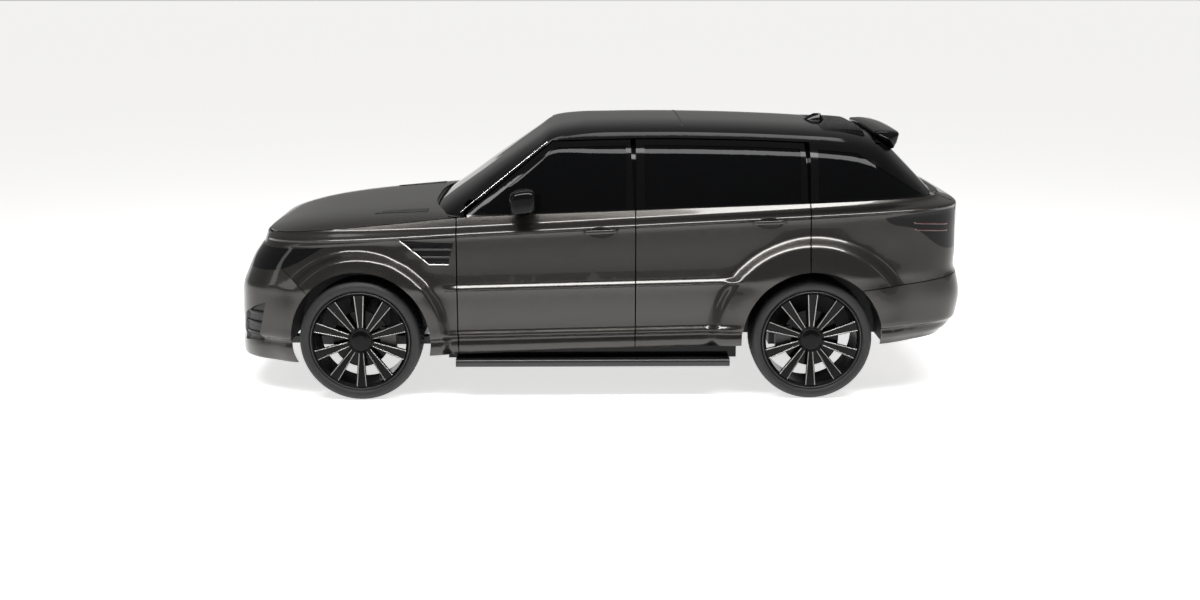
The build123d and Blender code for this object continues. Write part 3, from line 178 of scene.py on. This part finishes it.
# Roof, pillars, mirrors and spoiler: gloss black panels and mouldings, bonded and screwed to the body.
# The coat is smooth with a faint unevenness; the tinted glass is darker still and bonded in.
gloss_black = finish("gloss_black", (0.002, 0.002, 0.0022), 0.10, grain=9, spec=0.16)
dress(gloss_black, "roof", "side_frame_left", "side_frame_right", "mirror_left", "mirror_right", "spoiler")
dark_glass = finish("dark_glass", (0.0015, 0.0016, 0.0018), 0.03, grain=3, spec=0.08)
dress(dark_glass, "front_door_glass_left", "front_door_glass_right", "rear_door_glass_left",
      "rear_door_glass_right", "quarter_glass", "windscreen", "tailgate_glass")

# Moulded black plastic: cowl, liners, running boards, grilles and dashboard, clipped and screwed on.
# A fine pebble grain breaks up the sheen.
plastic = finish("plastic", (0.010, 0.010, 0.0105), 0.5, grain=600, bump=0.35)
dress(plastic, "cowl", "arch_liners", "grilles", "dashboard")
board_black = finish("board_black", (0.008, 0.008, 0.0085), 0.3, grain=300, bump=0.1)
dress(board_black, "running_boards")

# Structure and running gear: painted steel floor and subframes, cast knuckles and engine, steel exhaust.
# Each has its own noise, coarse on the floor and finer on castings.
dress(finish("structure", (0.022, 0.022, 0.023), 0.45, grain=120, bump=0.2), "floor_pan", "front_subframe",
      "rear_subframe")
dress(finish("cast_iron", (0.085, 0.083, 0.08), 0.55, metal=0.7, grain=260, bump=0.6, spread=0.3),
      "engine_block", "knuckle_left", "knuckle_right")
steel = finish("steel", (0.34, 0.33, 0.32), 0.28, metal=1.0, grain=70, bump=0.05, spread=0.2)
dress(steel, "exhaust")


def skin(name, points, body, made, wrap=False):
    """Mesh over one grid of points, or over many equal grids, four neighbours to a face."""
    grids = np.asarray(points, float)
    grids = grids.reshape((-1,) + grids.shape[-3:])
    count, rows, cols = grids.shape[:3]
    index = np.arange(count * rows * cols).reshape(count, rows, cols)
    if wrap:
        index = np.concatenate([index, index[:, :1]], axis=1)
    corners = (index[:, :-1, :-1], index[:, 1:, :-1], index[:, 1:, 1:], index[:, :-1, 1:])
    quads = np.stack(corners, -1).reshape(-1, 4)
    mesh = bpy.data.meshes.new(name)
    mesh.from_pydata(grids.reshape(-1, 3).tolist(), [], quads.tolist())
    mesh.polygons.foreach_set("use_smooth", np.ones(len(quads), bool))
    mesh.materials.append(made)
    piece = bpy.data.objects.new(name, mesh)
    bpy.context.scene.collection.objects.link(piece)
    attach(piece, body)
    return piece


def bake(piece):
    """Keeps the shape that the piece's modifiers give it and drops the modifiers."""
    seen = piece.evaluated_get(bpy.context.evaluated_depsgraph_get())
    shaped = bpy.data.meshes.new_from_object(seen)
    piece.modifiers.clear()
    piece.data = shaped
    shaped.polygons.foreach_set("use_smooth", np.ones(len(shaped.polygons), bool))


def seat(piece, target, along, lift, thick):
    """Drops a flat grid on a CAD node along one axis, fills misses from neighbours, adds thickness."""
    drop = piece.modifiers.new("drop", "SHRINKWRAP")
    drop.target = nodes[target]
    drop.wrap_method = "PROJECT"
    drop.use_project_x = along == "x"
    drop.use_project_y = along == "y"
    drop.use_project_z = along == "z"
    drop.use_positive_direction = True
    drop.use_negative_direction = True
    drop.project_limit = 1.0
    drop.offset = lift
    axis = "xyz".index(along)
    start = piece.data.vertices[0].co[axis]
    bake(piece)
    spots = np.empty(len(piece.data.vertices) * 3)
    piece.data.vertices.foreach_get("co", spots)
    reach = spots.reshape(-1, 3)[:, axis]
    landed = np.flatnonzero(np.abs(reach - start) > 1e-4)
    reach[:] = np.interp(np.arange(len(reach)), landed, reach[landed])
    piece.data.vertices.foreach_set("co", spots)
    build = piece.modifiers.new("build", "SOLIDIFY")
    build.thickness = thick
    build.offset = 0
    bake(piece)


def patch(corners, rows, cols):
    """Flat four-cornered grid: straight blend between the corners, two ways."""
    a, b, c, d = np.asarray(corners, float)
    u = np.linspace(0, 1, rows)[:, None, None]
    v = np.linspace(0, 1, cols)[None, :, None]
    return (a * (1 - u) + b * u) * (1 - v) + (d * (1 - u) + c * u) * v


# Wheels: cast alloy rims in gloss black, ten tapered spokes whose edges are machined bright.
# A blank cap covers each hub; the tyre is rubber, pressed on the rim.
rim_black = finish("rim_black", (0.002, 0.002, 0.0022), 0.2, grain=90, spec=0.14)
machined = finish("machined", (0.30, 0.295, 0.285), 0.25, metal=1.0, grain=900, bump=0.05, spread=0.08)
lip_grey = finish("lip_grey", (0.05, 0.05, 0.05), 0.25, metal=0.9, grain=900, spread=0.1)
rubber = finish("rubber", (0.0055, 0.0055, 0.006), 0.62, grain=420, bump=0.4)
AXLE_HEIGHT = 0.395
WHEEL_PLANE = 0.825
turns = np.arange(10) * math.radians(36) + math.radians(90)
WHEELS = (("front_left", 1.545, 1), ("front_right", 1.545, -1), ("rear_left", -1.378, 1),
          ("rear_right", -1.378, -1))


def on_axle(radius, angle, out, axle_x, side):
    """Point at a radius and angle round an axle, a distance out of the wheel's middle plane."""
    x = axle_x + radius * np.cos(angle)
    z = AXLE_HEIGHT + radius * np.sin(angle)
    return np.stack(np.broadcast_arrays(x, side * (WHEEL_PLANE + out), z), -1)


for corner, axle_x, side in WHEELS:
    wheel = "wheel_" + corner
    dress(rim_black, "rim_" + corner)
    dress(rubber, "tyre_" + corner)
    # Two ribs a spoke: straight from hub to lip, with a low rounded section
    run = np.linspace(0, 1, 14)[:, None]
    section = np.array([(-0.0032, -0.004), (-0.0027, 0.0030), (0.0, 0.0042), (0.0027, 0.0030),
                        (0.0032, -0.004)])
    ribs = []
    for hand in (-1, 1):
        out_along = 0.086 + 0.214 * run + 0 * section[:, 0]
        across = hand * (0.0135 + 0.0165 * run) + section[:, 0]
        height = 0.1005 + 0.0265 * run + section[:, 1]
        turn = turns[:, None, None]
        x = axle_x + out_along * np.cos(turn) - across * np.sin(turn)
        z = AXLE_HEIGHT + out_along * np.sin(turn) + across * np.cos(turn)
        ribs.append(np.stack(np.broadcast_arrays(x, side * (WHEEL_PLANE + height), z), -1))
    skin("spoke_edges_" + corner, np.concatenate(ribs), wheel, machined)
    # Lip: a thin grey ring turned on the rim's edge
    round_turn = np.linspace(0, 2 * math.pi, 145)[:-1, None]
    ring = np.linspace(0, 2 * math.pi, 9)[None, :]
    lip_radius = 0.3185 + 0.0035 * np.cos(ring)
    lip_out = 0.132 + 0.0028 * np.sin(ring)
    lip = on_axle(lip_radius, round_turn, lip_out, axle_x, side)
    skin("rim_lip_" + corner, lip, wheel, lip_grey, wrap=True)
    # Blank cap: a low dome over the hub with a turned step
    rise = np.linspace(0, 1, 12)[None, :]
    dome = 0.1065 + 0.009 * np.sqrt(1 - 0.98 * rise ** 2) + 0.0015 * (rise < 0.72)
    skin("hub_cap_" + corner, on_axle(0.001 + 0.061 * rise, round_turn, dome, axle_x, side), wheel,
         rim_black, wrap=True)
    # Tyre: turned section with four grooves and slanted cross cuts in the tread
    w = np.array([-0.113, -0.121, -0.131, -0.137, -0.141, -0.141, -0.138, -0.133, -0.125, -0.114, -0.100])
    r = np.array([0.3135, 0.326, 0.330, 0.338, 0.350, 0.360, 0.370, 0.379, 0.386, 0.3905, 0.3925])
    tread_w = np.linspace(-0.094, 0.094, 48)
    tread_r = AXLE_HEIGHT - 0.002 * (tread_w / 0.094) ** 2
    width = np.concatenate([w, tread_w, -w[::-1]])
    radius = np.concatenate([r, tread_r, r[::-1]])
    angle = np.linspace(0, 2 * math.pi, 421)[:-1, None]
    grooves = sum(np.exp(-((width - g) / 0.0045) ** 4) for g in (-0.066, -0.023, 0.023, 0.066))
    cuts = 0.5 + 0.5 * np.sign(np.sin(angle * 70 + np.abs(width)[None, :] * 55) - 0.72)
    on_tread = (np.abs(width) < 0.112) * 1.0
    sunk = 0.007 * np.clip(grooves * on_tread + 0.7 * cuts * on_tread, 0, 1)
    ridge = 0.0012 * np.sin(np.clip((radius - 0.33) / 0.03, 0, 2) * 9) ** 2
    form = on_axle(radius - sunk, angle, width - np.sign(width) * ridge, axle_x, side)
    tyre = skin("tyre_tread_" + corner, form, wheel, rubber, wrap=True)
    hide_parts("tyre_" + corner)

# Lamps: smoked lenses over black housings, screwed to the wings and the quarters.
# Two dark red bars lie along each rear lens.
smoked = finish("smoked_lens", (0.002, 0.002, 0.0022), 0.05, grain=200, bump=0.02, spec=0.3)
dress(smoked, "headlamps", "tail_lamps")
SIDES = (("left", 1), ("right", -1))
red_guide = finish("red_guide", (0.030, 0.003, 0.003), 0.2, coat=0.5, grain=500, bump=0.2)
for name, side in SIDES:
    for row, z in enumerate((1.085, 1.128)):
        rear = [(-2.02, 1.2 * side, z + 0.02), (-2.26, 1.2 * side, z), (-2.26, 1.2 * side, z + 0.012),
                (-2.02, 1.2 * side, z + 0.030)]
        bar = skin("tail_guide_%s_%d" % (name, row), patch(rear, 24, 3), "body", red_guide)
        seat(bar, "tail_lamps", "y", 0.001, 0.003)

# Wing vents: black moulded outlets behind the front arches, clipped in, with two slats.
# A thin polished edge runs along the front and the bottom.
bright = finish("bright_trim", (0.66, 0.65, 0.63), 0.16, metal=1.0, grain=300, bump=0.03, spread=0.06)
for name, side in SIDES:
    y = 1.3 * side
    field = [(1.262, y, 1.052), (0.928, y, 1.044), (0.962, y, 0.908), (1.085, y, 0.908)]
    vent = skin("wing_vent_" + name, patch(field, 40, 16), "body", gloss_black)
    seat(vent, "front_wings", "y", 0.0015, 0.006)
    edges = (((1.268, 1.054), (1.086, 0.904), 0.006), ((1.086, 0.904), (0.962, 0.904), 0.006))
    for row, (a, b, wide) in enumerate(edges):
        line = [(a[0], y, a[1]), (b[0], y, b[1]), (b[0], y, b[1] - wide), (a[0] + wide, y, a[1] - wide)]
        edge = skin("wing_vent_edge_%s_%d" % (name, row), patch(line, 30, 3), "body", bright)
        seat(edge, "front_wings", "y", 0.003, 0.006)
    for row, (z, x0, x1) in enumerate(((1.004, 1.19, 0.94), (0.956, 1.13, 0.955))):
        bar = [(x0, y, z), (x1, y, z), (x1, y, z - 0.012), (x0, y, z - 0.012)]
        slat = skin("wing_vent_slat_%s_%d" % (name, row), patch(bar, 24, 3), "body", plastic)
        seat(slat, "front_wings", "y", 0.007, 0.008)

# Bonnet vents: slim black outlets near the windscreen on each side of the lid, clipped in from below.
# They ride with the bonnet and stand a little proud of it.
for name, side in SIDES:
    field = [(1.465, 0.640 * side, 1.5), (1.115, 0.700 * side, 1.5), (1.115, 0.620 * side, 1.5),
             (1.40, 0.600 * side, 1.5)]
    vent = skin("bonnet_vent_" + name, patch(field, 36, 10), "bonnet", plastic)
    seat(vent, "bonnet", "z", 0.0015, 0.006)

# Front intakes: black moulded slats across the grilles and the corner vents, clipped in the bumper.
# Each slat is a small rounded section run across, following the plan curve of the nose.
across = np.linspace(-1, 1, 61)[:, None]
a = np.linspace(0, 2 * math.pi, 13)[None, :]
for label, half, levels in (("upper", 0.455, (0.872, 0.895, 0.918, 0.941, 0.964)),
                            ("lower", 0.505, (0.365, 0.405, 0.445, 0.485, 0.525, 0.565))):
    slats = []
    for z_slat in levels:
        hit = nodes["grilles"].ray_cast(Vector((3.0, 0.02, z_slat)), Vector((-1, 0, 0)))
        edge = nodes["grilles"].ray_cast(Vector((3.0, half * 0.97, z_slat)), Vector((-1, 0, 0)))
        fall = (hit[1][0] - edge[1][0]) if edge[0] and hit[0] else 0.03
        x = (hit[1][0] if hit[0] else 2.36) + 0.002 - fall * across ** 2 + 0.006 * np.cos(a)
        slats.append(np.stack(np.broadcast_arrays(x, half * across, z_slat + 0.005 * np.sin(a)), -1))
    skin("grille_slats_" + label, np.stack(slats), "body", gloss_black)
for name, side in SIDES:
    for row, z in enumerate((0.385, 0.455, 0.525)):
        field = [(3.0, 0.620 * side, z), (3.0, 0.785 * side, z + 0.012), (3.0, 0.785 * side, z + 0.034),
                 (3.0, 0.620 * side, z + 0.022)]
        fin = skin("corner_fin_%s_%d" % (name, row), patch(field, 20, 4), "body", gloss_black)
        seat(fin, "grilles", "x", 0.003, 0.006)

# Plates: blank pressed metal plates, screwed to the bumper and the tailgate.
# Each is a flat strip that follows the panel behind it.
plate_white = finish("plate_white", (0.55, 0.55, 0.54), 0.4, grain=60, spread=0.05)
for label, node, body, x, z in (("front", "front_bumper", "body", 3.0, 0.745),
                                ("rear", "tailgate", "tailgate", -3.0, 0.92)):
    field = [(x, -0.26, z - 0.055), (x, 0.26, z - 0.055), (x, 0.26, z + 0.055), (x, -0.26, z + 0.055)]
    plate = skin("plate_" + label, patch(field, 30, 8), body, plate_white)
    seat(plate, node, "x", 0.002, 0.003)

# Roof seam: the dark joint between the roof's two glazed panels, filled with sealant.
# A narrow strip that lies on the roof from rail to rail.
field = [(-0.543, -0.56, 2.0), (-0.543, 0.56, 2.0), (-0.551, 0.56, 2.0), (-0.551, -0.56, 2.0)]
seam = skin("roof_seam", patch(field, 60, 3), "body", plastic)
seat(seam, "roof", "z", 0.0008, 0.001)

# Exhaust trims: two polished steel sleeves round the tail pipes, welded on.
# A turned ring, rolled in at its mouth.
turn = np.linspace(0, 2 * math.pi, 49)[:-1, None]
ring = np.linspace(0, 2 * math.pi, 13)[None, :]
tips = []
for side in (-1, 1):
    pipe = nodes["exhaust"].ray_cast(Vector((-3.0, 0.33 * side, 0.512)), Vector((1, 0, 0)))
    x_end = pipe[1][0] if pipe[0] else -2.36
    radius = 0.047 + 0.003 * np.cos(ring)
    tip_x = x_end + 0.02 + 0.024 * np.sin(ring)
    tip_y = 0.33 * side + radius * np.cos(turn)
    tip_z = 0.47 + radius * np.sin(turn)
    tips.append(np.stack(np.broadcast_arrays(tip_x, tip_y, tip_z), -1))
skin("exhaust_trims", np.stack(tips), "body", bright, wrap=True)

# Pillar line: a thin bright metal strip along each windscreen pillar, a painted highlight for the light
# that the pillar's edge catches.
# It follows the pillar from the cowl to the roof.
for name, side in SIDES:
    y = 1.3 * side
    line = [(0.895, y, 1.216), (0.330, y, 1.664), (0.327, y, 1.660), (0.892, y, 1.212)]
    # Painted highlight: bright metal where the pillar's edge only catches light.
    highlight_strip = skin("pillar_highlight_" + name, patch(line, 60, 3), "body", bright)
    seat(highlight_strip, "side_frame_" + name, "y", 0.001, 0.003)

# Door handles: body-colour pulls with a raised lower lip, bolted through the door skin; the dark patch
# under each pull is painted shade for its recess.
# The bar is a rounded section along a path that leaves the skin and comes back to it.
# Painted shade: the recess behind each pull is body colour, and this dark paint stands in for the shade
# inside it.
pocket_painted_shade = finish("pocket_painted_shade", (0.007, 0.0066, 0.006), 0.3, metal=0.6, coat=0.3, grain=1400)
for door, x_mid, z_mid in (("front_door", -0.011, 1.112), ("rear_door", -1.086, 1.170)):
    for name, side in SIDES:
        node = door + "_" + name
        hit = nodes[node].ray_cast(Vector((x_mid, 1.4 * side, z_mid)), Vector((0, -side, 0)))
        reach = np.linspace(0.02, 1, 12)[:, None]
        a = np.linspace(0, 2 * math.pi, 49)[None, :]
        shade_x = x_mid + 0.082 * reach * np.cos(a)
        shade_z = z_mid - 0.004 + 0.036 * reach * np.sin(a)
        flat = np.stack(np.broadcast_arrays(shade_x, 1.3 * side, shade_z), -1)
        # Dark ellipse on the door skin: painted shade for the handle recess.
        shade_patch = skin("handle_pocket_shade_" + node, flat, node, pocket_painted_shade)
        seat(shade_patch, node, "y", 0.0012, 0.001)
        t = np.linspace(-1, 1, 33)[:, None]
        a = np.linspace(0, 2 * math.pi, 17)[None, :]
        stand = 0.026 * (1 - t ** 6) - 0.004
        thick = 0.5 + 0.5 * np.sqrt(np.clip(1 - t ** 8, 0, 1))
        x = x_mid + 0.112 * t + 0 * a
        y = hit[1][1] + side * (stand + 0.0075 * thick * np.sin(a))
        z = z_mid - 0.0045 * t + 0.0135 * thick * np.cos(a)
        skin("handle_" + node, np.stack(np.broadcast_arrays(x, y, z), -1), node, paint)
        scoop_x = x_mid + (0.086 + 0.004 * np.cos(a)) * np.cos(math.pi * (1.5 + 0.5 * t))
        scoop_z = z_mid - 0.006 + (0.040 + 0.003 * np.cos(a)) * np.sin(math.pi * (1.5 + 0.5 * t))
        lip = hit[1][1] + side * (0.002 + 0.004 * np.sin(a)) + 0 * t
        scoop = np.stack(np.broadcast_arrays(scoop_x, lip, scoop_z), -1)
        skin("handle_scoop_" + node, scoop, node, paint)

# Mirrors: gloss black moulded cases on short arms, screwed to the front doors.
# The case is a rounded block; the arm is a tapering tube.
p = np.linspace(-math.pi / 2, math.pi / 2, 25)[:, None]
q = np.linspace(-math.pi, math.pi, 49)[None, :]


def rounded(value, n):
    """Signed power, which squares off a sine or a cosine."""
    return np.sign(value) * np.abs(value) ** n


for name, side in SIDES:
    door = "front_door_" + name
    x = 0.482 + 0.088 * rounded(np.cos(p), 0.6) * rounded(np.cos(q), 0.7)
    y = side * (1.002 + 0.074 * rounded(np.sin(p), 0.8) + 0 * q)
    z = 1.312 + 0.080 * rounded(np.cos(p), 0.55) * rounded(np.sin(q), 0.6) - 0.12 * (x - 0.482)
    case = skin("mirror_case_" + name, np.stack([x, y, z], -1), door, gloss_black)
    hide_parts("mirror_" + name)
    t = np.linspace(0, 1, 12)[:, None]
    a = np.linspace(0, 2 * math.pi, 17)[None, :]
    arm_y = side * (0.885 + 0.10 * t) + 0 * a
    arm_x = 0.49 + (0.045 - 0.012 * t) * np.cos(a)
    arm_z = 1.215 + 0.055 * t + (0.018 - 0.004 * t) * np.sin(a)
    skin("mirror_arm_" + name, np.stack([arm_x, arm_y, arm_z], -1), door, gloss_black)

# Roof spoiler: two gloss black mouldings, one bonded on the roof and one screwed to the tailgate.
# The rear one is a closed wing section run across, drawn in at its ends.
outline = np.array([(-1.826, 1.700), (-1.834, 1.712), (-1.90, 1.716), (-1.96, 1.711), (-1.986, 1.704),
                    (-1.991, 1.694), (-1.978, 1.640), (-1.956, 1.596), (-1.940, 1.592), (-1.905, 1.612),
                    (-1.862, 1.650), (-1.830, 1.684)])
across = np.linspace(-1, 1, 41)[:, None]
middle = outline.mean(axis=0)
draw_in = np.clip(1 - np.abs(across) ** 26, 0.02, 1)
wing_x = middle[0] + (outline[:, 0] - middle[0]) * draw_in
wing_z = middle[1] + (outline[:, 1] - middle[1]) * draw_in - 0.016 * across ** 2
wing = np.stack(np.broadcast_arrays(wing_x, 0.55 * across, wing_z), -1)
blade = skin("spoiler_wing", wing.transpose(1, 0, 2), "tailgate", gloss_black, wrap=True)
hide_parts("spoiler")
field = [(-1.47, -0.54, 2.0), (-1.752, -0.54, 2.0), (-1.752, 0.54, 2.0), (-1.47, 0.54, 2.0)]
lead = skin("spoiler_lead", patch(field, 30, 41), "body", gloss_black)
seat(lead, "roof", "z", 0.001, 0.0)
spots = np.empty(len(lead.data.vertices) * 3)
lead.data.vertices.foreach_get("co", spots)
spots = spots.reshape(-1, 3)
back = np.clip((-1.47 - spots[:, 0]) / 0.30, 0, 1)
inside = (np.abs(spots[:, 1]) < 0.53) * (spots[:, 0] > -1.748)
spots[:, 2] += 0.024 * back ** 1.2 * inside
lead.data.vertices.foreach_set("co", spots.ravel())

# Roof fin: a small moulded aerial cover bonded on the roof's middle line.
# A leaning teardrop that narrows to its top.
u = np.linspace(0, 1, 25)[:, None]
a = np.linspace(0, 2 * math.pi, 33)[None, :-1]
fin_x = -1.485 - 0.03 * u + 0.085 * (1 - 0.72 * u) * np.cos(a)
fin_y = 0.026 * (1 - u ** 1.5) * np.sin(a)
fin_z = 1.722 + 0.052 * u + 0 * a
fin = np.stack(np.broadcast_arrays(fin_x, fin_y, fin_z), -1).transpose(1, 0, 2)
skin("roof_fin", fin, "body", gloss_black, wrap=True)

# Seats: foam on a shell, covered in dark leather with sewn joints, screwed to the floor.
# Each pad is a crowned block with two sunk seams, on a moulded base.
leather = finish("leather", (0.020, 0.018, 0.017), 0.45, grain=700, bump=0.5, spread=0.25)
dress(leather, "steering_wheel", "front_seats", "rear_seats")


def pad(centre, half, crown, lean):
    """Rounded block: a superellipse in plan and section, crowned on top and leaning back by an angle."""
    p = np.linspace(-math.pi / 2, math.pi / 2, 31)[:, None]
    q = np.linspace(-math.pi, math.pi, 61)[None, :]
    x = half[0] * rounded(np.cos(p), 0.45) * rounded(np.cos(q), 0.4)
    y = half[1] * rounded(np.cos(p), 0.45) * rounded(np.sin(q), 0.4)
    z = half[2] * rounded(np.sin(p), 0.6) + 0 * q
    seam = 0.006 * (np.exp(-((np.abs(y) - 0.62 * half[1]) / 0.007) ** 2))
    swell = crown * np.cos(0.5 * math.pi * x / half[0]) * np.cos(0.5 * math.pi * y / half[1])
    z = z + np.sign(z) * (swell - seam)
    turned_x = x * math.cos(lean) - z * math.sin(lean)
    turned_z = x * math.sin(lean) + z * math.cos(lean)
    return np.stack([centre[0] + turned_x, centre[1] + y, centre[2] + turned_z], -1)


back_lean = math.radians(104)
front_pads = []
rear_pads = []
for side in (-1, 1):
    front_pads.append(pad((0.30, 0.37 * side, 0.49), (0.25, 0.235, 0.062), 0.022, 0.06))
    front_pads.append(pad((0.045, 0.37 * side, 0.80), (0.27, 0.225, 0.055), 0.022, back_lean))
    front_pads.append(pad((-0.015, 0.37 * side, 1.128), (0.075, 0.125, 0.040), 0.012, back_lean))
    rear_pads.append(pad((-0.50, 0.325 * side, 0.50), (0.24, 0.285, 0.062), 0.022, 0.06))
    rear_pads.append(pad((-0.755, 0.325 * side, 0.81), (0.27, 0.285, 0.055), 0.022, back_lean))
front_seats = skin("front_seat_pads", np.stack(front_pads), "body", leather)
rear_seats = skin("rear_seat_pads", np.stack(rear_pads), "body", leather)
for piece, node in ((front_seats, "front_seats"), (rear_seats, "rear_seats")):
    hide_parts(node)
    low = min(spot[2] for spot in nodes[node].bound_box)
    x_base, y_base, wide = (0.27, 0.37, 0.17) if node == "front_seats" else (-0.52, 0.325, 0.2)
    tall = (0.46 - low) / 2
    bases = [pad((x_base, y_base * side, low + tall), (0.2, wide, tall), 0.0, 0.0) for side in (-1, 1)]
    skin(node + "_bases", np.stack(bases), "body", plastic)

# Floor and light: a wide pale floor, an even white surround and long soft boxes over the near side.
# The floor is plain and matt with a faint unevenness.
field = [(-150, -150, 0), (150, -150, 0), (150, 150, 0), (-150, 150, 0)]
floor_paint = finish("floor_paint", (0.85, 0.845, 0.845), 0.6, grain=2, spread=0.02)
ground = skin("studio_floor", patch(field, 2, 2), "body", floor_paint)
glow = floor_paint.node_tree.nodes["Principled BSDF"]
glow.inputs["Emission Color"].default_value = (1.0, 0.995, 0.99, 1)
glow.inputs["Emission Strength"].default_value = 0.68
world = bpy.data.worlds.new("studio")
bpy.context.scene.world = world
world.use_nodes = True
world.node_tree.nodes["Background"].inputs["Color"].default_value = (1.0, 0.99, 0.98, 1)
world.node_tree.nodes["Background"].inputs["Strength"].default_value = 0.24
for place, size, power in (((0, 2.9, 5.2), (9.0, 1.0), 620), ((0.3, -2.0, 6.0), (7, 1.0), 60),
                           ((7, 3, 3.0), (0.6, 3), 14), ((-7, 3, 3.0), (0.6, 3), 14)):
    lamp = bpy.data.lights.new("soft_box", "AREA")
    lamp.shape = "RECTANGLE"
    lamp.energy = power
    lamp.size = size[0]
    lamp.size_y = size[1]
    holder = bpy.data.objects.new("soft_box", lamp)
    bpy.context.scene.collection.objects.link(holder)
    holder.location = place
    holder.rotation_euler = (Vector((0, 0, 0.9)) - Vector(place)).to_track_quat("-Z", "Y").to_euler()

# Camera: level with the photo's view, on the left side
lens = bpy.data.cameras.new("camera")
lens.sensor_width = 36
lens.lens = 43.52
camera = bpy.data.objects.new("camera", lens)
bpy.context.scene.collection.objects.link(camera)
camera.location = (0.1038, 10.0601, 2.7078)
yaw = math.radians(-0.6854)
pitch = math.radians(12.6387)
aim = Vector((math.sin(yaw) * math.cos(pitch), -math.cos(yaw) * math.cos(pitch), -math.sin(pitch)))
camera.rotation_euler = aim.to_track_quat("-Z", "Y").to_euler()
bpy.context.scene.camera = camera
bpy.context.scene.view_settings.view_transform = "Standard"
